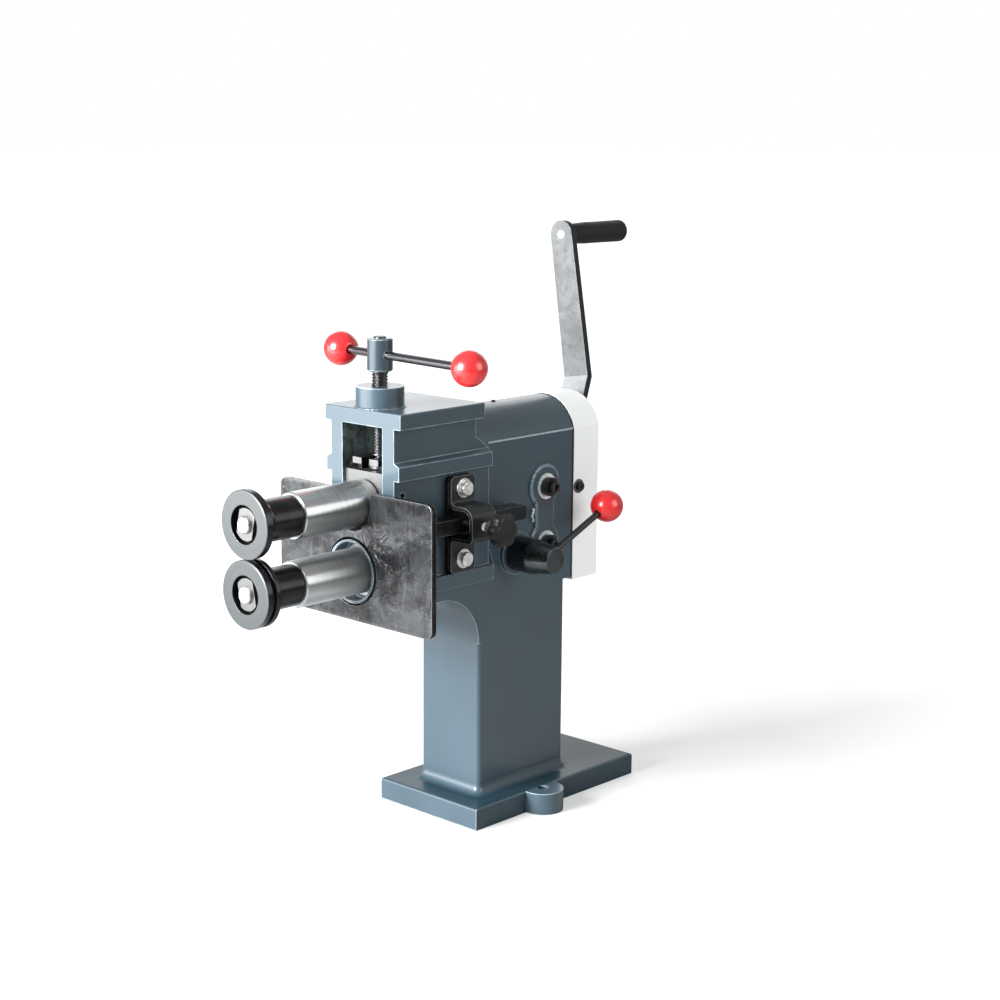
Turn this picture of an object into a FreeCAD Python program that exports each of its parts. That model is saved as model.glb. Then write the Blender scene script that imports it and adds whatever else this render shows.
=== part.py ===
"""Hand-cranked bead roller for a bench: a parametric document, one object per real piece.

Frame: origin at the centre of the base's underside, +Z up, the rolls point to -Y, the crank is at +Y.
All lengths are millimetres and all angles degrees. Every driving size is a cell of the sheet "Sizes".
"""
import FreeCAD, Part
import math
import os
import re
import Sketcher

V = FreeCAD.Vector
doc = FreeCAD.newDocument("BeadRoller")
sheet = doc.addObject("Spreadsheet::Sheet", "Sizes")

# ---------------------------------------------------------------- driving sizes
SIZES = {
    # base, ears and column
    "base_width": 134, "base_depth": 240, "base_height": 22, "edge_round": 2.5,
    "ear_radius": 21, "ear_overhang": 3, "ear_place": -26, "ear_hole": 5.5,
    "column_width": 79.6, "column_front": -89, "column_depth": 127.7, "column_round": 5,
    "wall": 9, "foot_fillet": 10, "core_floor": 8,
    # shafts and gears: the gears set the distance between the two shafts
    "lower_shaft_height": 266.5, "gear_module": 3.2, "gear_teeth": 20,
    "gear_width": 20, "gear_start": 5.6, "tooth_tip": 2.3, "tooth_root": 4.6, "tooth_thickness": 3.3,
    "gear_seat": 14, "key_width": 5, "key_height": 5,
    "shaft_radius": 15, "running_gap": 0.05, "side_gap": 0.4,
    # head and housing
    "head_front": -207, "head_width": 85, "head_depth": 128, "underside_drop": 37, "arch_radius": 52,
    "housing_lip": 8.7, "housing_floor_drop": 44.5, "crease_rise": 45.8, "crown_rise": 31.2,
    "plate_width": 102.2, "plate_depth": 112.5, "plate_thickness": 14.7, "plate_rise": 73.4,
    "rib_width": 98, "rib_depth": 126, "rib_height": 13.6, "lower_rib_height": 15.1, "upper_rib_rise": 25.2, "rib_slope": 3.2,
    "lower_rib_drop": 23.9, "web_notch": 18.6,
    "boss_radius": 22.9, "boss_height": 20,
    "window_width": 54, "pocket_floor_drop": 27, "tunnel_width": 53, "tunnel_drop": 33, "tunnel_rise": 27.5,
    "nose_radius": 30.5, "nose_bore": 28.3, "nose_length": 15,
    # slide block, keeper and feed screw
    "slide_setback": 3.5, "slide_depth": 40, "slide_rise": 29.3, "slide_drop": 25.5, "slide_gap": 0.3,
    "ball_bush_radius": 21, "ball_bush_half": 12, "lift": 5,
    "keeper_width": 34.4, "keeper_height": 6, "keeper_slot": 10.6, "keeper_leg": 4.7,
    "screw_radius": 8, "neck_radius": 4.8, "foot_radius": 11.5, "foot_gap": 0.3,
    "screw_head_radius": 12, "screw_head_height": 31, "screw_reach": 49.3, "spigot_radius": 6,
    "spigot_proud": 1.6,
    "tommy_radius": 4, "tommy_length": 205, "tommy_shift": 34.5, "tommy_turn": 6.7,
    "ball_radius": 16.5, "ball_bore_depth": 20, "ball_spacing": 192,
    # turned parts on the shaft noses
    "sleeve_radius": 22, "sleeve_length": 91, "sleeve_setback": 2, "collar_length": 10,
    "roll_length": 55, "roll_radius": 31.6, "roll_rim": 8.5, "roll_hub": 19.5, "roll_recess": 18,
    "recess_depth": 8, "roll_bore": 11, "roll_cone": 12, "groove_radius": 27.5, "groove_width": 4,
    "first_rim": 7, "second_rim": 5.5, "lower_cone": 3.5, "stud_radius": 8, "stud_proud": 1.5, "nut_radius": 15, "nut_flats": 21,
    "nut_height": 6,
    # rear bearing of the upper shaft on its pivot screws
    "pivot_place": 4, "pivot_drop": 7.2, "bearing_width": 50.8, "bearing_depth": 36, "bearing_rise": 21,
    "bearing_drop": 28, "pivot_tip": 5, "pivot_bite": 8.5, "pivot_thread": 6, "pivot_nut": 9.5,
    "pivot_nut_height": 6, "pivot_end": 57, "pivot_ring": 13, "pad_radius": 20, "pad_height": 3.2,
    "pad_bridge": 24, "ring_height": 1.5, "guide_drop": 1.5, "guide_tip": 3,
    # quill of the lower shaft and its shifting lever
    "quill_radius": 25, "quill_bore": 18, "quill_travel": 2, "quill_nose": 1, "flange_height": 1.5,
    "lever_place": -39, "lever_drop": 4.5, "lever_boss": 21.7, "lever_boss_end": 45,
    "hub_radius": 17.5, "hub_straight": 23, "hub_taper": 26, "hub_end": 12.5,
    "spigot_bearing": 9, "throw_radius": 4, "eccentric_pin": 4, "pin_bite": 5, "pin_gap": 0.3,
    "lever_length": 100.2, "lever_rise": 23.3, "lever_rod": 3.2, "lever_station": 81.5,
    # cover and crank
    "panel_thickness": 1.2, "cover_depth": 38, "cover_width": 82, "cover_wall": 2, "cover_drop": 47.3,
    "cover_screw": 2.5, "cover_screw_place": 7.4, "cover_screw_drop": 14.5, "lug_depth": 4,
    "crank_length": 237, "crank_lean": 9, "crank_thickness": 7, "crank_offset": 21.3,
    "crank_gap": 6, "crank_bend": 48, "crank_slant": 40.6, "crank_foot": 17, "crank_tip": 14.2,
    "square_side": 13, "crank_stub": 6, "washer_height": 2, "crank_nut_height": 8,
    "axle_radius": 4.5, "grip_radius": 11.5, "grip_neck": 9.5, "grip_length": 90, "grip_round": 5,
    # fence, its bar and clamp
    "fence_setback": 8, "fence_thickness": 6, "fence_width": 206, "fence_shift": 2.5,
    "fence_top": 13.5, "fence_bottom": 47, "fence_corner": 8, "fence_hole": 33, "fence_notch": 25,
    "bar_width": 17, "bar_height": 14, "bar_rear": -48, "bar_round": 4,
    "strap_place": -140, "strap_depth": 33, "strap_thickness": 3.5, "spacer_thickness": 4.8,
    "strap_gap_high": 3.7, "strap_gap_low": 0.3, "hump_reach": 27.8, "hump_rise": 26.5, "hump_drop": 7.5,
    "hump_round": 12, "hump_low_round": 6, "strap_bend": 4, "strap_corner": 5,
    "clamp_bolt": 4, "bolt_head": 7.1, "bolt_head_height": 6, "bolt_washer": 9.4, "washer_thin": 1.5,
    "clamp_radius": 4, "clamp_collar": 6.6, "collar_stand_off": 5, "clamp_collar_length": 11.4,
    "knob_radius": 16.6, "knob_thickness": 13,
    "oiler_radius": 2.2, "oiler_height": 1.6, "oiler_place": -28, "grub_radius": 3,
}
for row, (alias, number) in enumerate(SIZES.items(), start=1):
    sheet.set(f"A{row}", alias.replace("_", " "))
    sheet.set(f"B{row}", str(number))
    sheet.setAlias(f"B{row}", alias)
doc.recompute()

# ---------------------------------------------------------------- derived places, as expressions
LOWER = "lower_shaft_height"
UPPER = "(lower_shaft_height + gear_module * gear_teeth)"
COLUMN_REAR = "(column_front + column_depth)"
HOUSING_REAR = f"({COLUMN_REAR} + housing_lip)"
HEAD_REAR = "(head_front + head_depth)"
UNDERSIDE = f"({LOWER} - underside_drop)"
HOUSING_FLOOR = f"({LOWER} - housing_floor_drop)"
CREASE = f"({UPPER} + crease_rise)"
CROWN = f"({CREASE} + crown_rise)"
PLATE_LOW = f"({UPPER} + plate_rise)"
PLATE_TOP = f"({PLATE_LOW} + plate_thickness)"
BOSS_TOP = f"({PLATE_TOP} + boss_height)"
LOWER_RIB = f"({LOWER} - lower_rib_drop)"
UPPER_RIB = f"({UPPER} + upper_rib_rise)"
POCKET_FLOOR = f"({UPPER} - pocket_floor_drop)"
SLIDE_FRONT = "(head_front + slide_setback)"
SLIDE_REAR = "(head_front + slide_setback + slide_depth)"
SCREW_Y = "(head_front + slide_setback + slide_depth / 2)"
SLIDE_TOP = f"({UPPER} + slide_rise)"
FOOT_LOW = f"({SLIDE_TOP} + foot_gap)"
KEEPER_LOW = f"({SLIDE_TOP} + keeper_height)"
KEEPER_TOP = f"({SLIDE_TOP} + 2 * keeper_height)"
HEAD_HIGH = f"({PLATE_TOP} + screw_reach + spigot_proud + 14.5)"
SCREW_HEAD_TOP = f"({PLATE_TOP} + screw_reach + screw_head_height / 2)"
SCREW_HEAD_LOW = f"({PLATE_TOP} + screw_reach - screw_head_height / 2)"
TOMMY_Z = f"({PLATE_TOP} + screw_reach)"
SLEEVE_REAR = "(head_front + sleeve_setback)"
SLEEVE_FRONT = f"({SLEEVE_REAR} - sleeve_length)"
ROLL_FRONT = f"({SLEEVE_FRONT} - roll_length)"
RECESS_FLOOR = f"({ROLL_FRONT} + recess_depth)"
STUD_END = f"({ROLL_FRONT} - stud_proud)"
NOSE_FRONT = "(head_front - nose_length)"
QUILL_FRONT = "(head_front - quill_nose)"
QUILL_REAR = f"({HOUSING_REAR} + quill_nose + quill_travel)"
GEAR_FRONT = f"({HOUSING_REAR} + gear_start)"
GEAR_REAR = f"({HOUSING_REAR} + gear_start + gear_width)"
PANEL_REAR = f"({HOUSING_REAR} + panel_thickness)"
COVER_REAR = f"({HOUSING_REAR} + panel_thickness + cover_depth)"
COVER_FLOOR = f"({LOWER} - cover_drop)"
PIVOT_Z = f"({UPPER} - pivot_drop)"
GUIDE_Z = f"({LOWER} - guide_drop)"
LEVER_Z = f"({LOWER} - lever_drop)"
CRANK_FRONT = f"({COVER_REAR} + crank_gap)"
CRANK_REAR = f"({CRANK_FRONT} + crank_thickness)"
ARM_FRONT = f"({CRANK_FRONT} + crank_offset)"
ARM_REAR = f"({ARM_FRONT} + crank_thickness)"
FENCE_FRONT = "(head_front - fence_setback - fence_thickness)"
FENCE_REAR = "(head_front - fence_setback)"
WEB = "(head_width / 2)"
SPACER_OUT = f"({WEB} + spacer_thickness)"
STRAP_OUT = f"({SPACER_OUT} + strap_thickness)"
HUMP_OUT = f"({STRAP_OUT} + hump_reach)"
BAR_IN = f"({SPACER_OUT} + slide_gap)"
BAR_OUT = f"({BAR_IN} + bar_width)"
SHAFTS_MID = f"({LOWER} + gear_module * gear_teeth / 2)"
CLAMP_Z = f"({SHAFTS_MID} + 8)"
HUMP_TOP = f"({SHAFTS_MID} + hump_rise)"
HUMP_LOW = f"({SHAFTS_MID} - hump_drop)"
STRAP_TOP = f"({UPPER_RIB} - strap_gap_high)"
STRAP_LOW = f"({LOWER_RIB} + lower_rib_height + strap_gap_low)"
STRAP_MID = "(strap_place + strap_depth / 2)"
BAR_Z = f"({CLAMP_Z} + 1.3)"

WORD = re.compile(r"[a-z_]{4,}")


def bound(expression):
    """The same expression with each size named as a cell of the sheet."""
    return WORD.sub(lambda found: f"Sizes.{found.group()}", expression)


def value(expression):
    """The expression's number now, for shapes that are made in code."""
    return float(sheet.evalExpression(expression))


# ---------------------------------------------------------------- builders
count = 0


def fresh(stem):
    """A name that no other object has."""
    global count
    count += 1
    return f"{stem}_{count}"


def place(thing, x="0", y="0", z="0", rotation=None):
    """Bind the object's Placement to expressions."""
    if rotation:
        thing.Placement = FreeCAD.Placement(V(0, 0, 0), rotation)
    for letter, expression in (("x", x), ("y", y), ("z", z)):
        if expression != "0":
            thing.setExpression(f".Placement.Base.{letter}", bound(expression))
    return thing


def box(low, high):
    """A block between two corners."""
    block = doc.addObject("Part::Box", fresh("Block"))
    for side, start, end in zip(("Length", "Width", "Height"), low, high):
        block.setExpression(side, bound(f"{end} - ({start})"))
    return place(block, *low)


LIES_ALONG = {
    "X": FreeCAD.Rotation(V(0, 1, 0), 90),
    "Y": FreeCAD.Rotation(V(1, 0, 0), -90),
    "Z": FreeCAD.Rotation(),
}


def rod(axis, radius, start, end, first, second):
    """A cylinder from start to end along axis; first and second are its other two coordinates."""
    bar = doc.addObject("Part::Cylinder", fresh("Rod"))
    bar.setExpression("Radius", bound(radius))
    bar.setExpression("Height", bound(f"{end} - ({start})"))
    where = {"X": (start, first, second), "Y": (first, start, second), "Z": (first, second, start)}
    return place(bar, *where[axis], rotation=LIES_ALONG[axis])


def ball(radius, x, y, z):
    """A sphere."""
    globe = doc.addObject("Part::Sphere", fresh("Ball"))
    globe.setExpression("Radius", bound(radius))
    return place(globe, x, y, z)


def fuse(*pieces):
    """One solid of several."""
    joined = doc.addObject("Part::MultiFuse", fresh("Joined"))
    joined.Shapes = list(pieces)
    joined.Refine = True
    return joined


def cut(base, *tools):
    """The base without its tools."""
    for tool in tools:
        left = doc.addObject("Part::Cut", fresh("Left"))
        left.Base = base
        left.Tool = tool
        base = left
    return base


def common(first, second):
    """What two pieces share."""
    shared = doc.addObject("Part::Common", fresh("Shared"))
    shared.Base = first
    shared.Tool = second
    return shared


def group(*pieces):
    """Separate solids kept as one node."""
    bundle = doc.addObject("Part::Compound", fresh("Bundle"))
    bundle.Links = list(pieces)
    return bundle


def rounded(base, radius, keep, arcs=False):
    """The base with those edges rounded that keep() accepts, given their two ends."""
    doc.recompute()
    size = value(radius)
    soft = doc.addObject("Part::Fillet", fresh("Soft"))
    soft.Base = base
    chosen = []
    for number, edge in enumerate(base.Shape.Edges, start=1):
        if len(edge.Vertexes) == 2 and (arcs or isinstance(edge.Curve, Part.Line)):
            if keep(edge.Vertexes[0].Point, edge.Vertexes[1].Point):
                chosen.append((number, size, size))
    soft.Edges = chosen
    return soft


def runs_along(letter):
    """A test for rounded(): the edge runs along one axis."""
    return lambda a, b: (b - a).Length - abs(getattr(b - a, letter.lower())) < 1e-6


def sketch_on(body, role, points):
    """A closed outline of straight lines on one of the body's own planes, bound point by point."""
    drawing = body.newObject("Sketcher::SketchObject", fresh("Outline"))
    plane = next(item for item in body.Origin.OriginFeatures if item.Role == role)
    drawing.AttachmentSupport = [(plane, "")]
    drawing.MapMode = "FlatFace"
    spots = [(value(across), value(up)) for across, up in points]
    total = len(points)
    for number in range(total):
        start, end = spots[number], spots[(number + 1) % total]
        drawing.addGeometry(Part.LineSegment(V(*start, 0), V(*end, 0)), False)
    for number in range(total):
        drawing.addConstraint(Sketcher.Constraint("Coincident", number, 2, (number + 1) % total, 1))
    for number, (across, up) in enumerate(points):
        for kind, expression, line, now in (
            ("DistanceX", across, -2, spots[number][0]),
            ("DistanceY", up, -1, spots[number][1]),
        ):
            if expression == "0":
                drawing.addConstraint(Sketcher.Constraint("PointOnObject", number, 1, line))
                continue
            index = drawing.addConstraint(Sketcher.Constraint(kind, -1, 1, number, 1, now))
            drawing.setExpression(f"Constraints[{index}]", bound(expression))
    return drawing


TURNING = {"X": ("XY_Plane", "H_Axis"), "Y": ("YZ_Plane", "H_Axis"), "Z": ("XZ_Plane", "V_Axis")}


def turned(axis, steps, x="0", y="0", z="0"):
    """A turned body: steps are (station along the axis, radius), from one end to the other."""
    body = doc.addObject("PartDesign::Body", fresh("Turned"))
    role, line = TURNING[axis]
    points = [(station, radius) for station, radius in steps]
    if steps[0][1] != "0":
        points = [(steps[0][0], "0")] + points + [(steps[-1][0], "0")]
    if axis == "Z":
        points = [(radius, station) for station, radius in points]
    drawing = sketch_on(body, role, points)
    turn = body.newObject("PartDesign::Revolution", fresh("Turn"))
    turn.Profile = drawing
    turn.ReferenceAxis = (drawing, [line])
    turn.Angle = 360
    drawing.Visibility = False
    return place(body, x, y, z)


def ring(axis, outer, inner, start, end, first, second):
    """A tube or washer."""
    return cut(
        rod(axis, outer, start, end, first, second),
        rod(axis, inner, f"({start} - 1)", f"({end} + 1)", first, second),
    )


def padded(role, points, depth, x="0", y="0", z="0"):
    """An outline pushed out equally to both sides of its plane."""
    body = doc.addObject("PartDesign::Body", fresh("Pushed"))
    drawing = sketch_on(body, role, points)
    push = body.newObject("PartDesign::Pad", fresh("Push"))
    push.Profile = drawing
    push.SideType = "Symmetric"
    push.setExpression("Length", bound(depth))
    drawing.Visibility = False
    return place(body, x, y, z)


nodes = {}


def node(label, thing):
    """Give a sub-part its name."""
    thing.Label = label
    nodes[label] = thing
    return thing


def half(width):
    """Half of a width, as an expression."""
    return f"({width} / 2)"


# ---------------------------------------------------------------- main casting
def side_pad(side):
    """The raised pad on one side of the housing that carries the pivot screw and the guide screw."""
    face = f"({half('column_width')} + pad_height)"
    inner = f"({half('column_width')} - 1)"

    def stub(radius, outer, height):
        if side > 0:
            return rod("X", radius, inner, outer, "pivot_place", height)
        return rod("X", radius, f"(0 - {outer})", f"(0 - {inner})", "pivot_place", height)

    ends = (inner, face) if side > 0 else (f"(0 - {face})", f"(0 - {inner})")
    bridge = box(
        (ends[0], "(pivot_place - pad_bridge / 2)", GUIDE_Z),
        (ends[1], "(pivot_place + pad_bridge / 2)", PIVOT_Z),
    )
    return [
        stub("pad_radius", face, PIVOT_Z), stub("pad_radius", face, GUIDE_Z), bridge,
    ]


def main_casting():
    """Base, ears, cored column, head and housing in one piece."""
    base = rounded(
        box((f"(0 - {half('base_width')})", f"(0 - {half('base_depth')})", "0"),
            (half("base_width"), half("base_depth"), "base_height")),
        "edge_round", lambda a, b: min(a.z, b.z) > 1)
    ear_x = f"({half('base_width')} + ear_overhang)"
    ears = [rod("Z", "ear_radius", "0", "(base_height - 0.2)", sign + ear_x, "ear_place")
            for sign in ("0 + ", "0 - ")]
    side = half("column_width")
    column = rounded(
        box((f"(0 - {side})", "column_front", "(base_height / 2)"), (side, COLUMN_REAR, UNDERSIDE)),
        "column_round", runs_along("Z"))
    root = rounded(
        fuse(base, column), "foot_fillet",
        lambda a, b: abs(a.z - value("base_height")) < 1e-4 and abs(b.z - a.z) < 1e-4
        and max(abs(a.x), abs(b.x)) < value(side) + 0.01 and max(abs(a.y), abs(b.y)) < value("base_depth / 2") - 4,
        arcs=True)
    arch = cut(
        box((f"(0 - {side})", "(column_front - arch_radius)", f"({UNDERSIDE} - arch_radius)"),
            (side, "(column_front + 10)", f"({UNDERSIDE} + 2)")),
        rod("X", "arch_radius", f"(0 - {side} - 1)", f"({side} + 1)",
            "(column_front - arch_radius)", f"({UNDERSIDE} - arch_radius)"))
    housing = box((f"(0 - {side})", f"({HEAD_REAR} - 40)", UNDERSIDE), (side, HOUSING_REAR, CREASE))
    overhang = box((f"(0 - {side})", f"({COLUMN_REAR} - 20)", HOUSING_FLOOR), (side, HOUSING_REAR, UNDERSIDE))
    crown_radius = f"(({side} * {side} + crown_rise * crown_rise) / (2 * crown_rise))"
    crown = common(
        rod("Y", crown_radius, f"({HEAD_REAR} - 40)", HOUSING_REAR, "0", f"({CROWN} - {crown_radius})"),
        box((f"(0 - {side})", f"({HEAD_REAR} - 40)", f"({CREASE} - 1)"), (side, HOUSING_REAR, f"({CROWN} + 1)")))
    web = padded("YZ_Plane", [
        ("head_front", f"({LOWER_RIB} - 1)"), (HEAD_REAR, f"({LOWER_RIB} - 1)"),
        (HEAD_REAR, f"({UPPER_RIB} + rib_height + rib_slope)"),
        (f"({HEAD_REAR} - web_notch)", f"({PLATE_LOW} - web_notch)"),
        (f"({HEAD_REAR} - web_notch)", f"({PLATE_LOW} + 1)"),
        ("head_front", f"({PLATE_LOW} + 1)")], "head_width")
    chin = box((f"(0 - {side})", "head_front", UNDERSIDE), (side, HEAD_REAR, f"({LOWER_RIB} + 1)"))
    top_plate = rounded(
        box((f"(0 - {half('plate_width')})", "head_front", PLATE_LOW),
            (half("plate_width"), "(head_front + plate_depth)", PLATE_TOP)),
        "(edge_round / 2)", lambda a, b: min(a.z, b.z) > value(PLATE_LOW) + 1)
    boss = rod("Z", "boss_radius", f"({PLATE_TOP} - 1)", BOSS_TOP, "0", SCREW_Y)
    rib = half("rib_width")
    upper_rib = padded("XZ_Plane", [
        (f"(0 - {rib})", UPPER_RIB), (rib, UPPER_RIB), (rib, f"({UPPER_RIB} + rib_height)"),
        (WEB, f"({UPPER_RIB} + rib_height + rib_slope)"),
        (f"(0 - {WEB})", f"({UPPER_RIB} + rib_height + rib_slope)"),
        (f"(0 - {rib})", f"({UPPER_RIB} + rib_height)")],
        "rib_depth", y="(head_front + rib_depth / 2)")
    lower_rib = rounded(
        box((f"(0 - {rib})", "head_front", LOWER_RIB), (rib, HEAD_REAR, f"({LOWER_RIB} + lower_rib_height)")),
        "(edge_round / 2)", runs_along("Y"))
    nose = rod("Y", "nose_radius", NOSE_FRONT, "(head_front + 1)", "0", LOWER)
    lever_boss = rod("X", "lever_boss", f"({side} - 2)", "lever_boss_end", "lever_place", LEVER_Z)
    solid = fuse(root, *ears, arch, housing, overhang, crown, web, chin, top_plate,
                 boss, upper_rib, lower_rib, nose, lever_boss, *side_pad(1), *side_pad(-1))
    core = box((f"(0 - {side} + wall)", "(column_front + wall)", "(base_height + core_floor)"),
               (f"({side} - wall)", f"({COLUMN_REAR} - wall)", f"({LOWER} - quill_radius - wall)"))
    half_window = half("window_width")
    pocket = box((f"(0 - {half_window})", "(head_front - 1)", POCKET_FLOOR),
                 (half_window, f"({SLIDE_REAR} + slide_gap)", PLATE_LOW))
    slot = box(("(0 - shaft_radius - 2)", f"({SLIDE_REAR} - 1)", f"({UPPER} - shaft_radius - 2)"),
               ("(shaft_radius + 2)", f"({SLIDE_REAR} + 20)", f"({UPPER} + shaft_radius + lift + 2)"))
    half_tunnel = half("tunnel_width")
    tunnel = box((f"(0 - {half_tunnel})", f"({SLIDE_REAR} + 13)", f"({UPPER} - tunnel_drop)"),
                 (half_tunnel, f"({HOUSING_REAR} + 1)", f"({UPPER} + tunnel_rise)"))
    bore = rod("Y", "(quill_radius + running_gap)", f"({NOSE_FRONT} - 1)", f"({HOUSING_REAR} + 1)", "0", LOWER)
    nose_recess = rod("Y", "nose_bore", f"({NOSE_FRONT} - 1)", "head_front", "0", LOWER)
    feed_hole = rod("Z", "(screw_radius + running_gap)", f"({PLATE_LOW} - 1)", f"({BOSS_TOP} + 1)", "0", SCREW_Y)
    ear_holes = [rod("Z", "ear_hole", "(0 - 1)", "(base_height + 1)", sign + ear_x, "ear_place")
                 for sign in ("0 + ", "0 - ")]
    lever_hole = rod("X", "(spigot_bearing + running_gap)", "10", "(lever_boss_end + 1)", "lever_place", LEVER_Z)
    pivot_hole = rod("X", "(pivot_thread + running_gap)", "(0 - 70)", "70", "pivot_place", PIVOT_Z)
    guide_hole = rod("X", "(pivot_thread + running_gap)", "10", "70", "pivot_place", GUIDE_Z)
    grub_hole = rod("X", "(grub_radius + running_gap)", half_window, "70", f"({SLIDE_FRONT} + 7.5)",
                    f"({UPPER} + 10.5)")
    oil_hole = rod("Z", "(oiler_radius / 2 + running_gap)", f"({CROWN} - 8)", f"({CROWN} + 2)", "0", "oiler_place")
    bolt_holes = [rod("X", "(clamp_bolt + running_gap)", f"({WEB} - 12)", f"({WEB} + 1)", STRAP_MID, height)
                  for height in (BOLT_HIGH, BOLT_LOW)]
    return cut(solid, fuse(core, pocket, slot, tunnel, feed_hole), nose_recess, bore, *ear_holes, lever_hole,
               pivot_hole, guide_hole, grub_hole, oil_hole, *bolt_holes)


BOLT_HIGH = f"(({STRAP_TOP} + {HUMP_TOP}) / 2 + 1.5)"
BOLT_LOW = f"(({STRAP_LOW} + {HUMP_LOW}) / 2 - 3)"
node("frame_casting", main_casting())


# ---------------------------------------------------------------- slide block, keeper, feed screw
def slide_parts():
    """The block that carries the upper shaft's front bush, and the keeper that lifts it."""
    side = f"({half('window_width')} - slide_gap)"
    block = cut(
        box((f"(0 - {side})", SLIDE_FRONT, f"({UPPER} - slide_drop)"), (side, SLIDE_REAR, SLIDE_TOP)),
        rod("Y", "(ball_bush_radius + running_gap)", f"({SLIDE_FRONT} - 1)", f"({SLIDE_REAR} + 1)", "0", UPPER))
    node("slide_block", block)
    edge = half("keeper_width")
    low = f"({SLIDE_FRONT} + 0.5)"
    high = f"({SLIDE_REAR} - 2)"
    top = box((f"(0 - {edge})", low, KEEPER_LOW), (edge, high, KEEPER_TOP))
    legs = [
        box((f"({edge} - keeper_leg)", f"({low} + 7)", SLIDE_TOP), (edge, high, f"({KEEPER_LOW} + 1)")),
        box((f"(0 - {edge})", f"({low} + 7)", SLIDE_TOP), (f"(keeper_leg - {edge})", high, f"({KEEPER_LOW} + 1)")),
    ]
    mouth = box((f"(0 - {half('keeper_slot')})", f"({low} - 1)", f"({KEEPER_LOW} - 1)"),
                (half("keeper_slot"), SCREW_Y, f"({KEEPER_TOP} + 1)"))
    eye = rod("Z", half("keeper_slot"), f"({KEEPER_LOW} - 1)", f"({KEEPER_TOP} + 1)", "0", SCREW_Y)
    node("screw_keeper", cut(fuse(top, *legs), mouth, eye))


def feed_screw_parts():
    """Feed screw, its head, and the sliding tommy bar with two balls."""
    bar_hole = rod("X", "(tommy_radius + running_gap)", "(0 - 30)", "30", "0", TOMMY_Z)
    bar_hole.Placement = FreeCAD.Placement(
        V(0, 0, 0), FreeCAD.Rotation(V(0, 0, 1), -value("tommy_turn")) * LIES_ALONG["X"])
    turn = math.radians(value("tommy_turn"))
    bar_hole.setExpression(".Placement.Base.x", bound("0 - 30 * cos(tommy_turn * 1deg)"))
    bar_hole.setExpression(".Placement.Base.y", bound(f"{SCREW_Y} + 30 * sin(tommy_turn * 1deg)"))
    bar_hole.setExpression(".Placement.Base.z", bound(TOMMY_Z))
    screw = turned("Z", [
        (FOOT_LOW, "foot_radius"), (f"({KEEPER_LOW} - foot_gap)", "foot_radius"),
        (f"({KEEPER_LOW} - foot_gap)", "neck_radius"), (f"({KEEPER_TOP} + 1)", "neck_radius"),
        (f"({KEEPER_TOP} + 1)", "screw_radius"), (SCREW_HEAD_LOW, "screw_radius"),
        (SCREW_HEAD_LOW, "spigot_radius"), (f"({SCREW_HEAD_TOP} + spigot_proud)", "spigot_radius")],
        y=SCREW_Y)
    node("feed_screw", cut(screw, bar_hole))
    head = cut(
        turned("Z", [(SCREW_HEAD_LOW, "(screw_head_radius - 1)"), (f"({SCREW_HEAD_LOW} + 1)", "screw_head_radius"),
                     (f"({SCREW_HEAD_TOP} - 1)", "screw_head_radius"), (SCREW_HEAD_TOP, "(screw_head_radius - 1)")],
               y=SCREW_Y),
        rod("Z", "spigot_radius", f"({SCREW_HEAD_LOW} - 1)", f"({SCREW_HEAD_TOP} + 1)", "0", SCREW_Y),
        bar_hole)
    node("screw_head", head)
    spin = FreeCAD.Rotation(V(0, 0, 1), -math.degrees(turn))

    def along_bar(thing, shift):
        """Put a piece at a distance from the screw's axis along the tommy bar."""
        thing.Placement = FreeCAD.Placement(V(0, 0, 0), spin)
        thing.setExpression(".Placement.Base.x", bound(f"({shift}) * cos(tommy_turn * 1deg)"))
        thing.setExpression(".Placement.Base.y", bound(f"{SCREW_Y} - ({shift}) * sin(tommy_turn * 1deg)"))
        thing.setExpression(".Placement.Base.z", bound(TOMMY_Z))
        return thing

    stem = turned("X", [(f"(0 - {half('tommy_length')})", "tommy_radius"), (half("tommy_length"), "tommy_radius")])
    node("tommy_bar", along_bar(stem, "tommy_shift"))
    balls = []
    for sign in ("-", "+"):
        inward = "+" if sign == "-" else "-"
        centre = f"(0 {sign} ball_spacing / 2)"
        mouth = f"({centre} {inward} (ball_radius + 1))"
        floor = f"(0 {sign} tommy_length / 2)"
        ends = (floor, mouth) if sign == "-" else (mouth, floor)
        knob = cut(ball("ball_radius", centre, "0", "0"), rod("X", "tommy_radius", *ends, "0", "0"))
        flat = f"({centre} {inward} (ball_radius - 0.8))"
        trim = box(*(((flat, "(0 - 10)", "(0 - 10)"), (f"({flat} + 9)", "10", "10")) if sign == "-"
                     else ((f"({flat} - 9)", "(0 - 10)", "(0 - 10)"), (flat, "10", "10"))))
        balls.append(cut(knob, trim))
    node("tommy_balls", along_bar(group(*balls), "tommy_shift"))


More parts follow.
